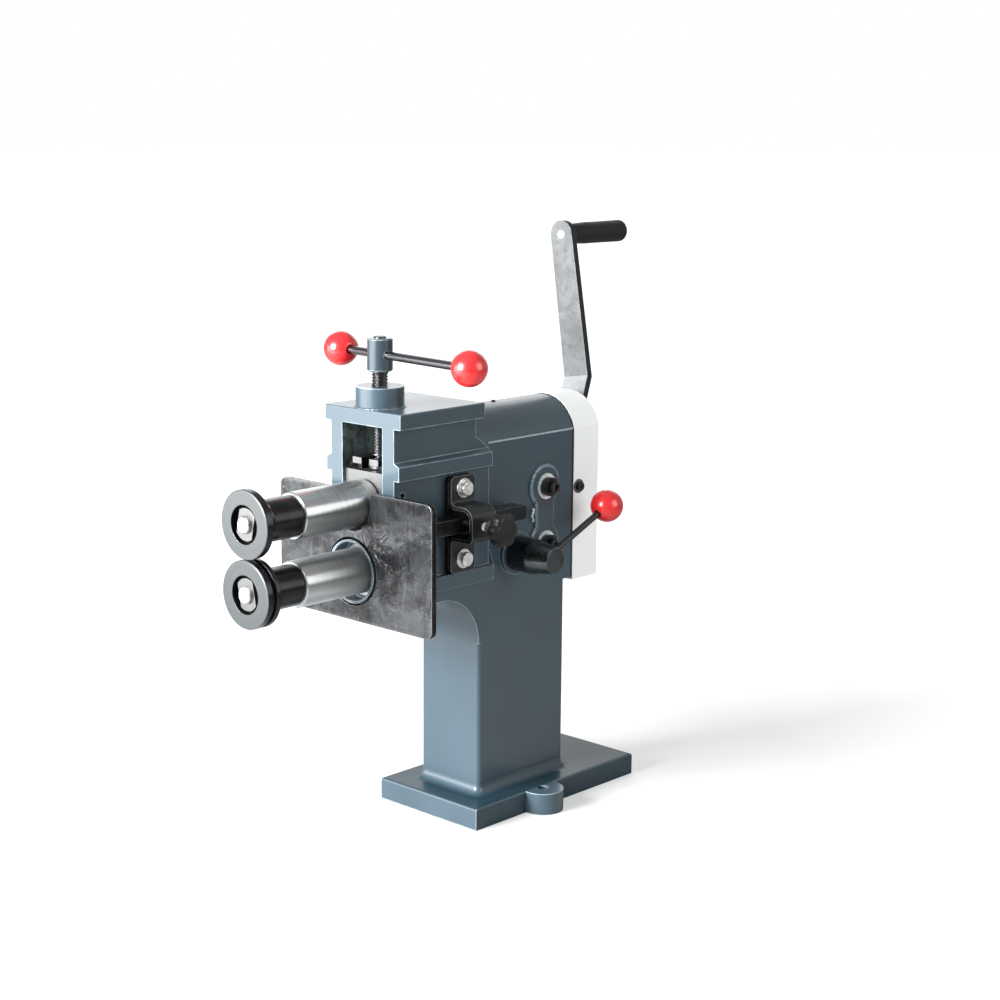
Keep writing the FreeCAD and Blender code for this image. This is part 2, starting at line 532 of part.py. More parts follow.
# ---------------------------------------------------------------- shafts, sleeves and rolls
def nose_parts(name, height):
    """Sleeve, collar, roll and nut on one shaft's nose."""
    bore = "shaft_radius"
    seam = f"({SLEEVE_REAR} - collar_length)"
    if name == "lower":
        seam = f"({QUILL_FRONT} - flange_height - side_gap)"
    node(f"{name}_sleeve", cut(
        turned("Y", [(SLEEVE_FRONT, "(sleeve_radius - 1)"), (f"({SLEEVE_FRONT} + 1)", "sleeve_radius"),
                     (seam, "sleeve_radius")], z=height),
        rod("Y", bore, f"({SLEEVE_FRONT} - 1)", f"({seam} + 1)", "0", height)))
    if name == "upper":
        node("upper_collar", cut(
            turned("Y", [(seam, "(sleeve_radius - 0.5)"), (f"({seam} + 0.5)", "sleeve_radius"),
                         (f"({SLEEVE_REAR} - 1)", "sleeve_radius"), (SLEEVE_REAR, "(sleeve_radius - 1)")],
                   z=height),
            rod("Y", bore, f"({seam} - 1)", f"({SLEEVE_REAR} + 1)", "0", height)))
    rim = "roll_rim" if name == "upper" else "first_rim"
    cone = "roll_cone" if name == "upper" else "lower_cone"
    rim_rear = f"({ROLL_FRONT} + {rim})"
    steps = [(ROLL_FRONT, "(roll_radius - 0.8)"), (f"({ROLL_FRONT} + 0.8)", "roll_radius"),
             (f"({rim_rear} - 0.8)", "roll_radius"), (rim_rear, "(roll_radius - 0.8)")]
    cone_start = rim_rear
    if name == "lower":
        cone_start = f"({rim_rear} + groove_width + second_rim)"
        steps += [(rim_rear, "groove_radius"), (f"({rim_rear} + groove_width)", "groove_radius"),
                  (f"({rim_rear} + groove_width)", "(roll_radius - 0.8)"),
                  (f"({rim_rear} + groove_width + 0.8)", "roll_radius"), (cone_start, "roll_radius")]
        steps[-1:] = [(f"({cone_start} - 1.2)", "roll_radius"), (cone_start, "(roll_radius - 1.2)")]
    shoulder = "(roll_hub + 5)" if name == "upper" else "(roll_hub + 2)"
    steps += [(cone_start, shoulder), (f"({cone_start} + {cone})", "roll_hub"), (SLEEVE_FRONT, "roll_hub")]
    node(f"{name}_roll", cut(
        turned("Y", steps, z=height),
        rod("Y", "roll_recess", f"({ROLL_FRONT} - 1)", RECESS_FLOOR, "0", height),
        rod("Y", "roll_bore", f"({RECESS_FLOOR} - 1)", f"({SLEEVE_FRONT} + 1)", "0", height)))
    flat = half("nut_flats")
    tilt = FreeCAD.Rotation(V(0, 1, 0), 12 if name == "upper" else -12)
    nut = cut(
        common(
            rod("Y", "nut_radius", "(0 - nut_height)", "0", "0", "0"),
            box((f"(0 - {flat})", "(0 - nut_height)", "(0 - 20)"), (flat, "0", "20"))),
        rod("Y", "stud_radius", "(0 - nut_height - 1)", "1", "0", "0"))
    nut.Placement = FreeCAD.Placement(V(0, 0, 0), tilt)
    node(f"{name}_roll_nut", place(nut, "0", RECESS_FLOOR, height, rotation=tilt))


def shaft_steps(rear):
    """The turned steps that both shafts share, from the stud to the gear seat."""
    return [(STUD_END, "(stud_radius - 1)"), (f"({STUD_END} + 1)", "stud_radius"),
            (RECESS_FLOOR, "stud_radius"), (RECESS_FLOOR, "roll_bore"), (SLEEVE_FRONT, "roll_bore"),
            (SLEEVE_FRONT, "shaft_radius"), (GEAR_FRONT, "shaft_radius"), (GEAR_FRONT, "gear_seat"),
            (rear, "gear_seat")]


def key_slot(height):
    """The key's space on top of a gear seat."""
    side = half("key_width")
    return box((f"(0 - {side})", GEAR_FRONT, f"({height} + gear_seat - key_height / 2)"),
               (side, GEAR_REAR, f"({height} + gear_seat + key_height / 2)"))


def gear_shape(height, phase):
    """A spur gear blank with straight-flanked, thinned teeth, set at its shaft's height."""
    teeth = int(round(value("gear_teeth")))
    pitch_radius = value("gear_module * gear_teeth / 2")
    slope = math.tan(math.radians(20))
    stations = []
    for tooth in range(teeth):
        middle = 2 * math.pi * tooth / teeth + math.radians(phase)
        for radius, side in (("root", -1), ("tip", -1), ("tip", 1), ("root", 1)):
            offset = value("tooth_tip") if radius == "tip" else -value("tooth_root")
            distance = pitch_radius + offset
            half_tooth = value("tooth_thickness") / 2 - offset * slope
            angle = middle + side * half_tooth / distance
            stations.append(V(distance * math.cos(angle), 0, distance * math.sin(angle)))
    face = Part.Face(Part.makePolygon(stations + stations[:1]))
    blank = face.extrude(V(0, value("gear_width"), 0))
    bore = Part.makeCylinder(value("gear_seat"), value("gear_width"), V(0, 0, 0), V(0, 1, 0))
    key_way = Part.makeBox(value("key_width"), value("gear_width"), value("key_height"),
                           V(-value("key_width") / 2, 0, value("gear_seat - key_height / 2")))
    shape = blank.cut(bore).cut(key_way)
    gear = doc.addObject("Part::Feature", fresh("Gear"))
    gear.Shape = shape
    gear.Placement = FreeCAD.Placement(V(0, value(GEAR_FRONT), value(height)), FreeCAD.Rotation())
    return gear


def shaft_parts():
    """Both shafts, their gears and keys."""
    nose_parts("upper", UPPER)
    nose_parts("lower", LOWER)
    square = half("square_side")
    stub = f"({CRANK_REAR} + washer_height + crank_nut_height + 3)"
    steps = shaft_steps(GEAR_REAR) + [
        (GEAR_REAR, "(square_side / 2 + 3)"), (CRANK_FRONT, "(square_side / 2 + 3)"),
        (CRANK_FRONT, "crank_stub"), (stub, "crank_stub")]
    lean = FreeCAD.Rotation(V(0, -1, 0), value("crank_lean"))
    end_square = place(group(box((f"(0 - {square})", f"({CRANK_FRONT} - 1)", f"(0 - {square})"),
                                 (square, CRANK_REAR, square))), z=UPPER, rotation=lean)
    node("upper_shaft", cut(fuse(turned("Y", steps, z=UPPER), end_square), key_slot(UPPER)))
    node("lower_shaft", cut(turned("Y", shaft_steps(GEAR_REAR), z=LOWER), key_slot(LOWER)))
    node("upper_gear", gear_shape(UPPER, 270))
    node("lower_gear", gear_shape(LOWER, 90 + 180 / value("gear_teeth")))
    for name, height in (("upper", UPPER), ("lower", LOWER)):
        node(f"{name}_gear_key", key_slot(height))
    node("upper_gear_nut", ring("Y", "(gear_seat + 3)", "(square_side / 2 + 3)", GEAR_REAR,
                                f"({GEAR_REAR} + 6)", "0", UPPER))
    node("lower_gear_retainer", group(
        rod("Y", "(gear_seat + 3)", GEAR_REAR, f"({GEAR_REAR} + 3)", "0", LOWER),
        rod("Y", "7", f"({GEAR_REAR} + 3)", f"({GEAR_REAR} + 8)", "0", LOWER)))


# ---------------------------------------------------------------- bearings, pivot screws and quill
def bearing_parts():
    """The upper shaft's rocking rear bearing and ball bush, and the pivot and guide screws."""
    side = half("bearing_width")
    front, rear = "(pivot_place - bearing_depth / 2)", "(pivot_place + bearing_depth / 2)"
    node("rear_bearing_block", cut(
        box((f"(0 - {side})", front, f"({UPPER} - bearing_drop)"), (side, rear, f"({UPPER} + bearing_rise)")),
        rod("Y", "(shaft_radius + running_gap)", f"({front} - 1)", f"({rear} + 1)", "0", UPPER),
        rod("X", "(pivot_tip + running_gap)", f"({side} - pivot_bite)", f"({side} + 1)", "pivot_place", PIVOT_Z),
        rod("X", "(pivot_tip + running_gap)", f"(0 - {side} - 1)", f"(0 - {side} + pivot_bite)",
            "pivot_place", PIVOT_Z)))
    node("front_ball_bush", cut(
        common(ball("ball_bush_radius", "0", SCREW_Y, UPPER),
               box(("(0 - 30)", f"({SCREW_Y} - ball_bush_half)", f"({UPPER} - 30)"),
                   ("30", f"({SCREW_Y} + ball_bush_half)", f"({UPPER} + 30)"))),
        rod("Y", "(shaft_radius + running_gap)", f"({SCREW_Y} - 30)", f"({SCREW_Y} + 30)", "0", UPPER)))

    def socket_screw(tip_radius, tip, shoulder, height, mirror):
        """A black screw with a plain tip, a locknut outside and a socket in its end."""
        nut_face = f"({half('column_width')} + pad_height + ring_height)"
        turn = FreeCAD.Rotation(V(0, 0, 1), 180) if mirror else FreeCAD.Rotation()
        body = turned("X", [(tip, tip_radius), (shoulder, tip_radius), (shoulder, "pivot_thread"),
                            (f"(pivot_end - 1)", "pivot_thread"), ("pivot_end", "(pivot_thread - 1)")])
        piece = cut(body, rod("X", "(pivot_thread / 2)", "(pivot_end - 4)", "(pivot_end + 1)", "0", "0"))
        nut = ring("X", "pivot_nut", "pivot_thread", nut_face, f"({nut_face} + pivot_nut_height)", "0", "0")
        washer = ring("X", "pivot_ring", "(pivot_thread + running_gap)", f"({nut_face} - ring_height)", nut_face,
                      "0", "0")
        return [place(each, "0", "pivot_place", height, rotation=turn) for each in (piece, nut, washer)]

    tip = f"({side} - pivot_bite + slide_gap)"
    pairs = [socket_screw("pivot_tip", tip, f"({half('tunnel_width')} + slide_gap)", PIVOT_Z, mirror)
             for mirror in (False, True)]
    node("pivot_screws", group(pairs[0][0], pairs[1][0]))
    guide = socket_screw("guide_tip", "(quill_radius - pin_bite)", "(quill_radius + 1.5)", GUIDE_Z, False)
    node("guide_screw", guide[0])
    node("lock_nuts", group(pairs[0][1], pairs[1][1], guide[1]))
    node("pivot_washers", group(pairs[0][2], pairs[1][2], guide[2]))


def quill_parts():
    """The quill that the lower shaft runs in, and its two flanged bushes."""
    pin_slot = box(("(quill_radius - pin_bite - 0.5)", "(lever_place - eccentric_pin - pin_gap)",
                    f"({LEVER_Z} - throw_radius - eccentric_pin - 1)"),
                   ("(quill_radius + 2)", "(lever_place + eccentric_pin + pin_gap)",
                    f"({LEVER_Z} - throw_radius + eccentric_pin + 2)"))
    key_way = box(("(quill_radius - pin_bite - 0.5)", "(pivot_place - guide_tip - quill_travel - 0.6)",
                   f"({GUIDE_Z} - guide_tip - pin_gap)"),
                  ("(quill_radius + 2)", "(pivot_place + guide_tip + quill_travel + 0.6)",
                   f"({GUIDE_Z} + guide_tip + pin_gap)"))
    node("lower_quill", cut(
        ring("Y", "quill_radius", "quill_bore", QUILL_FRONT, QUILL_REAR, "0", LOWER), pin_slot, key_way))
    bush_bore = "(shaft_radius + running_gap)"
    bushes = []
    for start, end, flange_start, flange_end in (
        (QUILL_FRONT, f"({QUILL_FRONT} + 35)", f"({QUILL_FRONT} - flange_height)", QUILL_FRONT),
        (f"({QUILL_REAR} - 35)", QUILL_REAR, QUILL_REAR, f"({QUILL_REAR} + flange_height)"),
    ):
        sleeve = fuse(rod("Y", "quill_bore", start, end, "0", LOWER),
                      rod("Y", "(quill_bore + 2)", flange_start, flange_end, "0", LOWER))
        bushes.append(cut(sleeve, rod("Y", bush_bore, f"({flange_start} - 60)", f"({flange_end} + 60)", "0", LOWER)))
    node("quill_bushes", group(*bushes))


# ---------------------------------------------------------------- shifting lever
def lever_parts():
    """Tapered hub with an eccentric pin, rod and ball."""
    hub_start = "(lever_boss_end + slide_gap)"
    straight = f"({hub_start} + hub_straight)"
    end = f"({straight} + hub_taper)"
    spigot_end = "(quill_radius + 0.6)"
    hub = turned("X", [
        (spigot_end, "spigot_bearing"), (hub_start, "spigot_bearing"), (hub_start, "hub_radius"),
        (straight, "hub_radius"), (f"({end} - 1)", "(hub_end + 0.5)"), (end, "hub_end")],
        y="lever_place", z=LEVER_Z)
    pin = rod("X", "eccentric_pin", "(quill_radius - pin_bite + 0.3)", f"({spigot_end} + 1)", "lever_place",
              f"({LEVER_Z} - throw_radius)")
    rise = FreeCAD.Rotation(V(1, 0, 0), value("lever_rise")) * LIES_ALONG["Y"]
    socket_depth = 6

    def on_lever(thing):
        thing.Placement = FreeCAD.Placement(V(0, 0, 0), rise)
        for letter, start in (("x", "lever_station"), ("y", "lever_place"), ("z", LEVER_Z)):
            thing.setExpression(f".Placement.Base.{letter}", bound(start))
        return thing

    length = "(lever_length - ball_radius + 11)"
    blank = turned("Z", [(f"{socket_depth}", "lever_rod"), (length, "lever_rod")])
    hole = turned("Z", [(f"{socket_depth}", "lever_rod"), (length, "lever_rod")])
    node("lever_hub", cut(fuse(hub, pin), on_lever(hole)))
    node("lever_rod", on_lever(blank))
    knob = cut(
        ball("ball_radius", "0", "0", "lever_length"),
        rod("Z", "lever_rod", "(lever_length - ball_radius - 1)", length, "0", "0"),
        box(("(0 - 9)", "(0 - 9)", "(lever_length - ball_radius - 9)"),
            ("9", "9", "(lever_length - ball_radius + 0.7)")))
    node("lever_ball", on_lever(knob))


# ---------------------------------------------------------------- gear cover and crank
def arched(half_width, front, rear, floor, crease, crown_rise):
    """A block with a segmental top."""
    radius = f"(({half_width} * {half_width} + ({crown_rise}) * ({crown_rise})) / (2 * ({crown_rise})))"
    top = f"({crease} + {crown_rise})"
    block = box((f"(0 - {half_width})", front, floor), (half_width, rear, crease))
    cap = common(
        rod("Y", radius, front, rear, "0", f"({top} - {radius})"),
        box((f"(0 - {half_width})", front, f"({crease} - 0.5)"), (half_width, rear, f"({top} + 1)")))
    return fuse(block, cap)


def cover_parts():
    """Black back panel with two lugs, the white cover, its screws and washers."""
    side = half("cover_width")
    inner = f"({side} - cover_wall)"
    screw_y = f"({PANEL_REAR} + cover_screw_place)"
    screw_z = f"({UPPER} - cover_screw_drop)"
    panel = cut(
        arched(f"({half('column_width')} + 0.6)", HOUSING_REAR, PANEL_REAR, HOUSING_FLOOR, CREASE,
               "(crown_rise + 0.6)"),
        rod("Y", "(quill_radius + 0.6)", f"({HOUSING_REAR} - 1)", f"({PANEL_REAR} + 1)", "0", LOWER),
        rod("Y", "(shaft_radius + 4)", f"({HOUSING_REAR} - 1)", f"({PANEL_REAR} + 1)", "0", UPPER))
    lug_low = (f"({inner} - lug_depth)", f"({PANEL_REAR} - 0.2)", f"({screw_z} - 6)")
    lug_high = (f"({inner} - 0.1)", f"({screw_y} + 5)", f"({screw_z} + 6)")
    right_lug = box(lug_low, lug_high)
    left_lug = box((f"(0 - {lug_high[0]})",) + lug_low[1:], (f"(0 - {lug_low[0]})",) + lug_high[1:])
    screw_hole = rod("X", "(cover_screw + running_gap)", "(0 - 50)", "50", screw_y, screw_z)
    node("back_panel", cut(fuse(panel, right_lug, left_lug), screw_hole))
    crown = "(crown_rise + 1.2)"
    shell = cut(
        arched(side, PANEL_REAR, COVER_REAR, COVER_FLOOR, CREASE, crown),
        arched(inner, f"({PANEL_REAR} - 1)", f"({COVER_REAR} - cover_wall)", f"({COVER_FLOOR} + cover_wall)",
               CREASE, f"({crown} - cover_wall)"),
        rod("Y", "(square_side / 2 + 8)", f"({COVER_REAR} - 10)", f"({COVER_REAR} + 1)", "0", UPPER))
    screw_hole_two = rod("X", "(cover_screw + 0.3)", "(0 - 50)", "50", screw_y, screw_z)
    node("gear_cover", cut(shell, screw_hole_two))
    screws, washers = [], []
    for turn in (FreeCAD.Rotation(), FreeCAD.Rotation(V(0, 0, 1), 180)):
        start = f"({inner} - lug_depth + 1)"
        face = f"({side} + 1)"
        body = cut(
            turned("X", [(start, "cover_screw"), (face, "cover_screw"), (face, "(cover_screw + 2.3)"),
                         (f"({face} + 3)", "(cover_screw + 2.3)"), (f"({face} + 4)", "(cover_screw + 1.4)")]),
            rod("X", "(cover_screw / 2)", f"({face} + 1.5)", f"({face} + 5)", "0", "0"))
        screws.append(place(body, "0", screw_y, screw_z, rotation=turn))
        disc = ring("X", "(cover_screw + 4.8)", "(cover_screw + 0.3)", side, face, "0", "0")
        washers.append(place(disc, "0", screw_y, screw_z, rotation=turn))
    node("cover_screws", group(*screws))
    node("cover_washers", group(*washers))


def crank_parts():
    """Cranked flat arm on the shaft's square, washer, nut, axle and grip."""
    lean = FreeCAD.Rotation(V(0, -1, 0), value("crank_lean"))

    def on_crank(thing):
        thing.Placement = FreeCAD.Placement(V(0, 0, 0), lean)
        thing.setExpression(".Placement.Base.z", bound(UPPER))
        return thing

    top = "(crank_length + crank_tip + 2)"
    slanted = "(crank_bend + crank_slant)"
    side_view = padded("YZ_Plane", [
        (CRANK_FRONT, "(0 - 20)"), (CRANK_FRONT, "crank_bend"), (ARM_FRONT, slanted), (ARM_FRONT, top),
        (ARM_REAR, top), (ARM_REAR, f"({slanted} - 2)"), (CRANK_REAR, "(crank_bend - 2)"),
        (CRANK_REAR, "(0 - 20)")], "60")
    front = f"({CRANK_FRONT} - 5)"
    rear = f"({ARM_REAR} + 5)"
    taper = padded("XZ_Plane", [
        ("(0 - crank_foot)", "0"), ("crank_foot", "0"), ("crank_tip", "crank_length"),
        ("(0 - crank_tip)", "crank_length")], f"({rear} - {front})", y=f"(({rear} + {front}) / 2)")
    front_view = fuse(taper, rod("Y", "crank_foot", front, rear, "0", "0"),
                      rod("Y", "crank_tip", front, rear, "0", "crank_length"))
    square = f"({half('square_side')} + running_gap)"
    hole = box((f"(0 - {square})", front, f"(0 - {square})"), (square, rear, square))
    hole.Placement = FreeCAD.Placement(V(0, 0, 0), FreeCAD.Rotation())
    arm = cut(common(side_view, front_view), place(hole, f"(0 - {square})", front, f"(0 - {square})"),
              rod("Y", "axle_radius", front, rear, "0", "crank_length"))
    node("crank_arm", on_crank(arm))
    node("crank_washer", ring("Y", "(crank_stub + 6)", "crank_stub", CRANK_REAR,
                              f"({CRANK_REAR} + washer_height)", "0", UPPER))
    nut_start = f"({CRANK_REAR} + washer_height)"
    hexagon = []
    for corner in range(6):
        angle = 60 * corner
        hexagon.append((f"((crank_stub + 4.5) * cos({angle} * 1deg))", f"((crank_stub + 4.5) * sin({angle} * 1deg))"))
    hexagon[0] = ("(crank_stub + 4.5)", "0")
    hexagon[3] = ("(0 - crank_stub - 4.5)", "0")
    nut = padded("XZ_Plane", hexagon, "crank_nut_height", y=f"({nut_start} + crank_nut_height / 2)", z=UPPER)
    node("crank_nut", cut(nut, rod("Y", "crank_stub", f"({nut_start} - 1)", f"({nut_start} + 20)", "0", UPPER)))
    axle_end = f"({ARM_REAR} + grip_length - 6)"
    axle = turned("Y", [(f"({ARM_FRONT} - 0.6)", "(axle_radius - 0.6)"), (ARM_FRONT, "axle_radius"),
                        (axle_end, "axle_radius")], z="crank_length")
    node("grip_axle", on_crank(group(axle)))
    start = f"({ARM_REAR} + slide_gap)"
    end = f"({start} + grip_length)"
    grip = cut(
        turned("Y", [(start, "grip_neck"), (f"({start} + 12)", "(grip_radius - 0.8)"),
                     (f"({start} + 40)", "grip_radius"), (f"({end} - grip_round)", "grip_radius"),
                     (f"({end} - grip_round * 0.3)", "(grip_radius - grip_round * 0.35)"),
                     (end, "(grip_radius - grip_round)")], z="crank_length"),
        rod("Y", "(axle_radius + running_gap)", f"({start} - 1)", f"({axle_end} + 0.5)", "0", "crank_length"))
    node("crank_grip", on_crank(group(grip)))


# ---------------------------------------------------------------- fence and its clamp
def fence_parts():
    """Fence plate on its square bar, held by a humped strap, with a clamp screw."""
    left = f"(fence_shift - {half('fence_width')})"
    right = f"(fence_shift + {half('fence_width')})"
    low, high = f"({LOWER} - fence_bottom)", f"({UPPER} + fence_top)"
    blank = rounded(box((left, FENCE_FRONT, low), (right, FENCE_REAR, high)), "fence_corner", runs_along("Y"))
    start, end = f"({FENCE_FRONT} - 1)", f"({FENCE_REAR} + 1)"
    notch = fuse(rod("Y", "fence_notch", start, end, "0", UPPER),
                 box(("(0 - fence_notch)", start, UPPER), ("fence_notch", end, f"({high} + 1)")))
    node("fence_plate", cut(blank, rod("Y", "fence_hole", start, end, "0", LOWER), notch))
    bar_low, bar_high = f"({BAR_Z} - bar_height / 2)", f"({BAR_Z} + bar_height / 2)"
    node("fence_bar", rounded(
        box((BAR_IN, FENCE_REAR, bar_low), (BAR_OUT, "bar_rear", bar_high)), "bar_round",
        lambda a, b: runs_along("X")(a, b) and a.y > value("bar_rear") - 1))


def clamp_parts():
    """Spacer and strap with bolts and washers, clamp screw and lobed knob."""
    corner = "strap_corner"

    def at_ends(low_edge, high_edge):
        """The edges at the two ends of the strap, across its thickness."""
        def test(a, b):
            level = min(abs(a.z - value(low_edge)), abs(a.z - value(high_edge)))
            return runs_along("X")(a, b) and level < 1e-4
        return test

    spacer = rounded(
        box((WEB, "strap_place", STRAP_LOW), (SPACER_OUT, "(strap_place + strap_depth)", STRAP_TOP)),
        corner, at_ends(STRAP_LOW, STRAP_TOP))

    def bend(centre_x, centre_z, radius, start, end, steps=4):
        """Corner points on an arc, as expressions."""
        points = []
        for step in range(steps + 1):
            angle = start + (end - start) * step / steps
            points.append((f"({centre_x} + ({radius}) * cos({angle:.6g} * 1deg))",
                           f"({centre_z} + ({radius}) * sin({angle:.6g} * 1deg))"))
        return points

    thick = "strap_thickness"
    foot_x = f"({STRAP_OUT} + strap_bend)"
    high_x, high_z = f"({HUMP_OUT} - hump_round)", f"({HUMP_TOP} - hump_round)"
    low_x, low_z = f"({HUMP_OUT} - hump_low_round)", f"({HUMP_LOW} + hump_low_round)"
    profile = [(SPACER_OUT, STRAP_LOW), (STRAP_OUT, STRAP_LOW)]
    profile += bend(foot_x, f"({HUMP_LOW} - strap_bend)", "strap_bend", 180, 90)
    profile += bend(low_x, low_z, "hump_low_round", 270, 360)
    profile += bend(high_x, high_z, "hump_round", 0, 90, 6)
    profile += bend(foot_x, f"({HUMP_TOP} + strap_bend)", "strap_bend", 270, 180)
    profile += [(STRAP_OUT, STRAP_TOP), (SPACER_OUT, STRAP_TOP)]
    profile += bend(foot_x, f"({HUMP_TOP} + strap_bend)", f"strap_bend + {thick}", 180, 270)
    profile += bend(high_x, high_z, f"hump_round - {thick}", 90, 0, 6)
    profile += bend(low_x, low_z, f"hump_low_round - {thick}", 360, 270)
    profile += bend(foot_x, f"({HUMP_LOW} - strap_bend)", f"strap_bend + {thick}", 90, 180)
    strap = rounded(padded("XZ_Plane", profile, "strap_depth", y=STRAP_MID), corner, at_ends(STRAP_LOW, STRAP_TOP))
    holes = [rod("X", "(clamp_bolt + running_gap)", f"({WEB} - 1)", f"({HUMP_OUT} + 1)", STRAP_MID, height)
             for height in (BOLT_HIGH, BOLT_LOW)]
    spacer_holes = [rod("X", "(clamp_bolt + running_gap)", f"({WEB} - 1)", f"({HUMP_OUT} + 1)", STRAP_MID, height)
                    for height in (BOLT_HIGH, BOLT_LOW)]
    screw_hole = rod("X", "(clamp_radius + running_gap)", f"({BAR_OUT} - 1)", f"({HUMP_OUT} + 1)", STRAP_MID, CLAMP_Z)
    node("clamp_spacer", cut(spacer, *spacer_holes))
    node("clamp_strap", cut(strap, *holes, screw_hole))
    washer_face = f"({STRAP_OUT} + washer_thin)"
    bolts, washers = [], []
    for height in (BOLT_HIGH, BOLT_LOW):
        top = f"({washer_face} + bolt_head_height)"
        bolts.append(turned("X", [
            (f"({WEB} - 11)", "clamp_bolt"), (washer_face, "clamp_bolt"), (washer_face, "bolt_head"),
            (f"({top} - 0.8)", "bolt_head"), (top, "(bolt_head - 0.8)")], y=STRAP_MID, z=height))
        washers.append(ring("X", "bolt_washer", "(clamp_bolt + running_gap)", STRAP_OUT, washer_face,
                            STRAP_MID, height))
    node("clamp_bolts", group(*bolts))
    node("clamp_washers", group(*washers))
    collar = f"({HUMP_OUT} + collar_stand_off)"
    knob_start = f"({collar} + clamp_collar_length)"
    knob_end = f"({knob_start} + knob_thickness)"
    node("clamp_screw", turned("X", [
        (f"({BAR_OUT} + slide_gap)", "clamp_radius"), (collar, "clamp_radius"), (collar, "clamp_collar"),
        (knob_start, "clamp_collar"), (knob_start, "clamp_radius"), (f"({knob_end} - 2)", "clamp_radius")],
        y=STRAP_MID, z=CLAMP_Z))
    lobes = [rod("X", "(knob_radius * 0.36)", knob_start, knob_end, "0", "0") for _ in range(5)]
    arms = []
    for number, lobe in enumerate(lobes):
        angle = f"({72 * number + 90} * 1deg)"
        reach = "(knob_radius * 0.64)"
        lobe.setExpression(".Placement.Base.y", bound(f"{STRAP_MID} + {reach} * cos({angle})"))
        lobe.setExpression(".Placement.Base.z", bound(f"{CLAMP_Z} + {reach} * sin({angle})"))
        arms.append(lobe)
    hub = rod("X", "(knob_radius * 0.72)", knob_start, f"({knob_end} + 1)", STRAP_MID, CLAMP_Z)
    node("clamp_knob", cut(fuse(hub, *arms), rod("X", "clamp_radius", f"({knob_start} - 1)", f"({knob_end} - 2)",
                                                 STRAP_MID, CLAMP_Z)))


def small_parts():
    """Oiler on the crown and grub screw beside the slide."""
    node("oiler", turned("Z", [
        (f"({CROWN} - 8)", "(oiler_radius / 2)"), (CROWN, "(oiler_radius / 2)"), (CROWN, "oiler_radius"),
        (f"({CROWN} + oiler_height - 1)", "oiler_radius"), (f"({CROWN} + oiler_height)", "(oiler_radius - 1)")],
        y="oiler_place"))
    node("slide_grub_screw", cut(
        rod("X", "grub_radius", half("window_width"), f"({WEB} - 1.2)", f"({SLIDE_FRONT} + 7.5)", f"({UPPER} + 10.5)"),
        rod("X", "(grub_radius / 2)", f"({WEB} - 4)", f"({WEB} + 1)", f"({SLIDE_FRONT} + 7.5)", f"({UPPER} + 10.5)")))


slide_parts()
feed_screw_parts()
shaft_parts()
bearing_parts()
quill_parts()
lever_parts()
cover_parts()
crank_parts()
fence_parts()
clamp_parts()
small_parts()
doc.recompute()

# ---------------------------------------------------------------- checks and files
for thing in doc.Objects:
    if "Invalid" in thing.State or "Error" in thing.State:
        raise RuntimeError(f"{thing.Name} ({thing.Label}) failed: {thing.State}")
for label, thing in nodes.items():
    if thing.Shape.isNull() or not thing.Shape.isValid() or not thing.Shape.Solids:
        raise RuntimeError(f"{label} has no valid solid")

os.makedirs("parts", exist_ok=True)
for label, thing in nodes.items():
    thing.Shape.exportStep(f"parts/{label}.step")
print(len(nodes), "nodes written")
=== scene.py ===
"""Bead roller: materials, fine detail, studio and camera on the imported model.

Places and sizes are in metres, in the CAD model's frame: the rolls face -Y, the crank is at +Y,
and the fence clamp and the shifting lever are at +X.
"""
import math
import random

import bpy
import bmesh
from mathutils import Matrix, Vector


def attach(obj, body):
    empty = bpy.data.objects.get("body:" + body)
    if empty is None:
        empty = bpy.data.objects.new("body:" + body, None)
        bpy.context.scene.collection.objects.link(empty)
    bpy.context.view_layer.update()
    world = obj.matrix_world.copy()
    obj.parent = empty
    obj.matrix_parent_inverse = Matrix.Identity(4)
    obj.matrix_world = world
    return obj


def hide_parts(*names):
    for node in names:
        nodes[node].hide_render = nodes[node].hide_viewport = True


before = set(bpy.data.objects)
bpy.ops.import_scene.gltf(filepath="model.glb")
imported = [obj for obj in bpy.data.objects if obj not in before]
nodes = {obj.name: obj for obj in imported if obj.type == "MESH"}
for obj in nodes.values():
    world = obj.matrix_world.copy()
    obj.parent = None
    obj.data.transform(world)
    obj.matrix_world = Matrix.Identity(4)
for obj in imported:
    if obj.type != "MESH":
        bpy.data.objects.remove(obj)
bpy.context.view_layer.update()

MM = 0.001

# ------------------------------------------------------------------ places on the CAD model
LOWER_Z, UPPER_Z = 266.5 * MM, 330.5 * MM      # the two shafts
ROLL_FRONT = -351.0 * MM                       # front faces of the rolls
SCREW_Y = -183.5 * MM                          # axis of the feed screw
BAR_Z = 467.9 * MM                             # axis of the tommy bar
PIVOT_Y, PIVOT_Z, GUIDE_Z = 4.0 * MM, 323.3 * MM, 265.0 * MM
LEVER_Y, LEVER_Z = -39.0 * MM, 262.0 * MM
CLAMP_Y, CLAMP_Z = -123.5 * MM, 306.5 * MM
GRIP_X, GRIP_Z = -37.075 * MM, 564.582 * MM
CREASE_X, CREASE_Z = 39.75 * MM, 376.3 * MM    # the housing's long crease
BOSS_FOOT_Z = 418.7 * MM                       # where the screw boss stands on the top plate


# ------------------------------------------------------------------ node kit
COLOUR_A, COLOUR_B, MIXED = 6, 7, 2            # a Mix node's sockets for colours


def is_socket(item):
    return isinstance(item, bpy.types.NodeSocket)


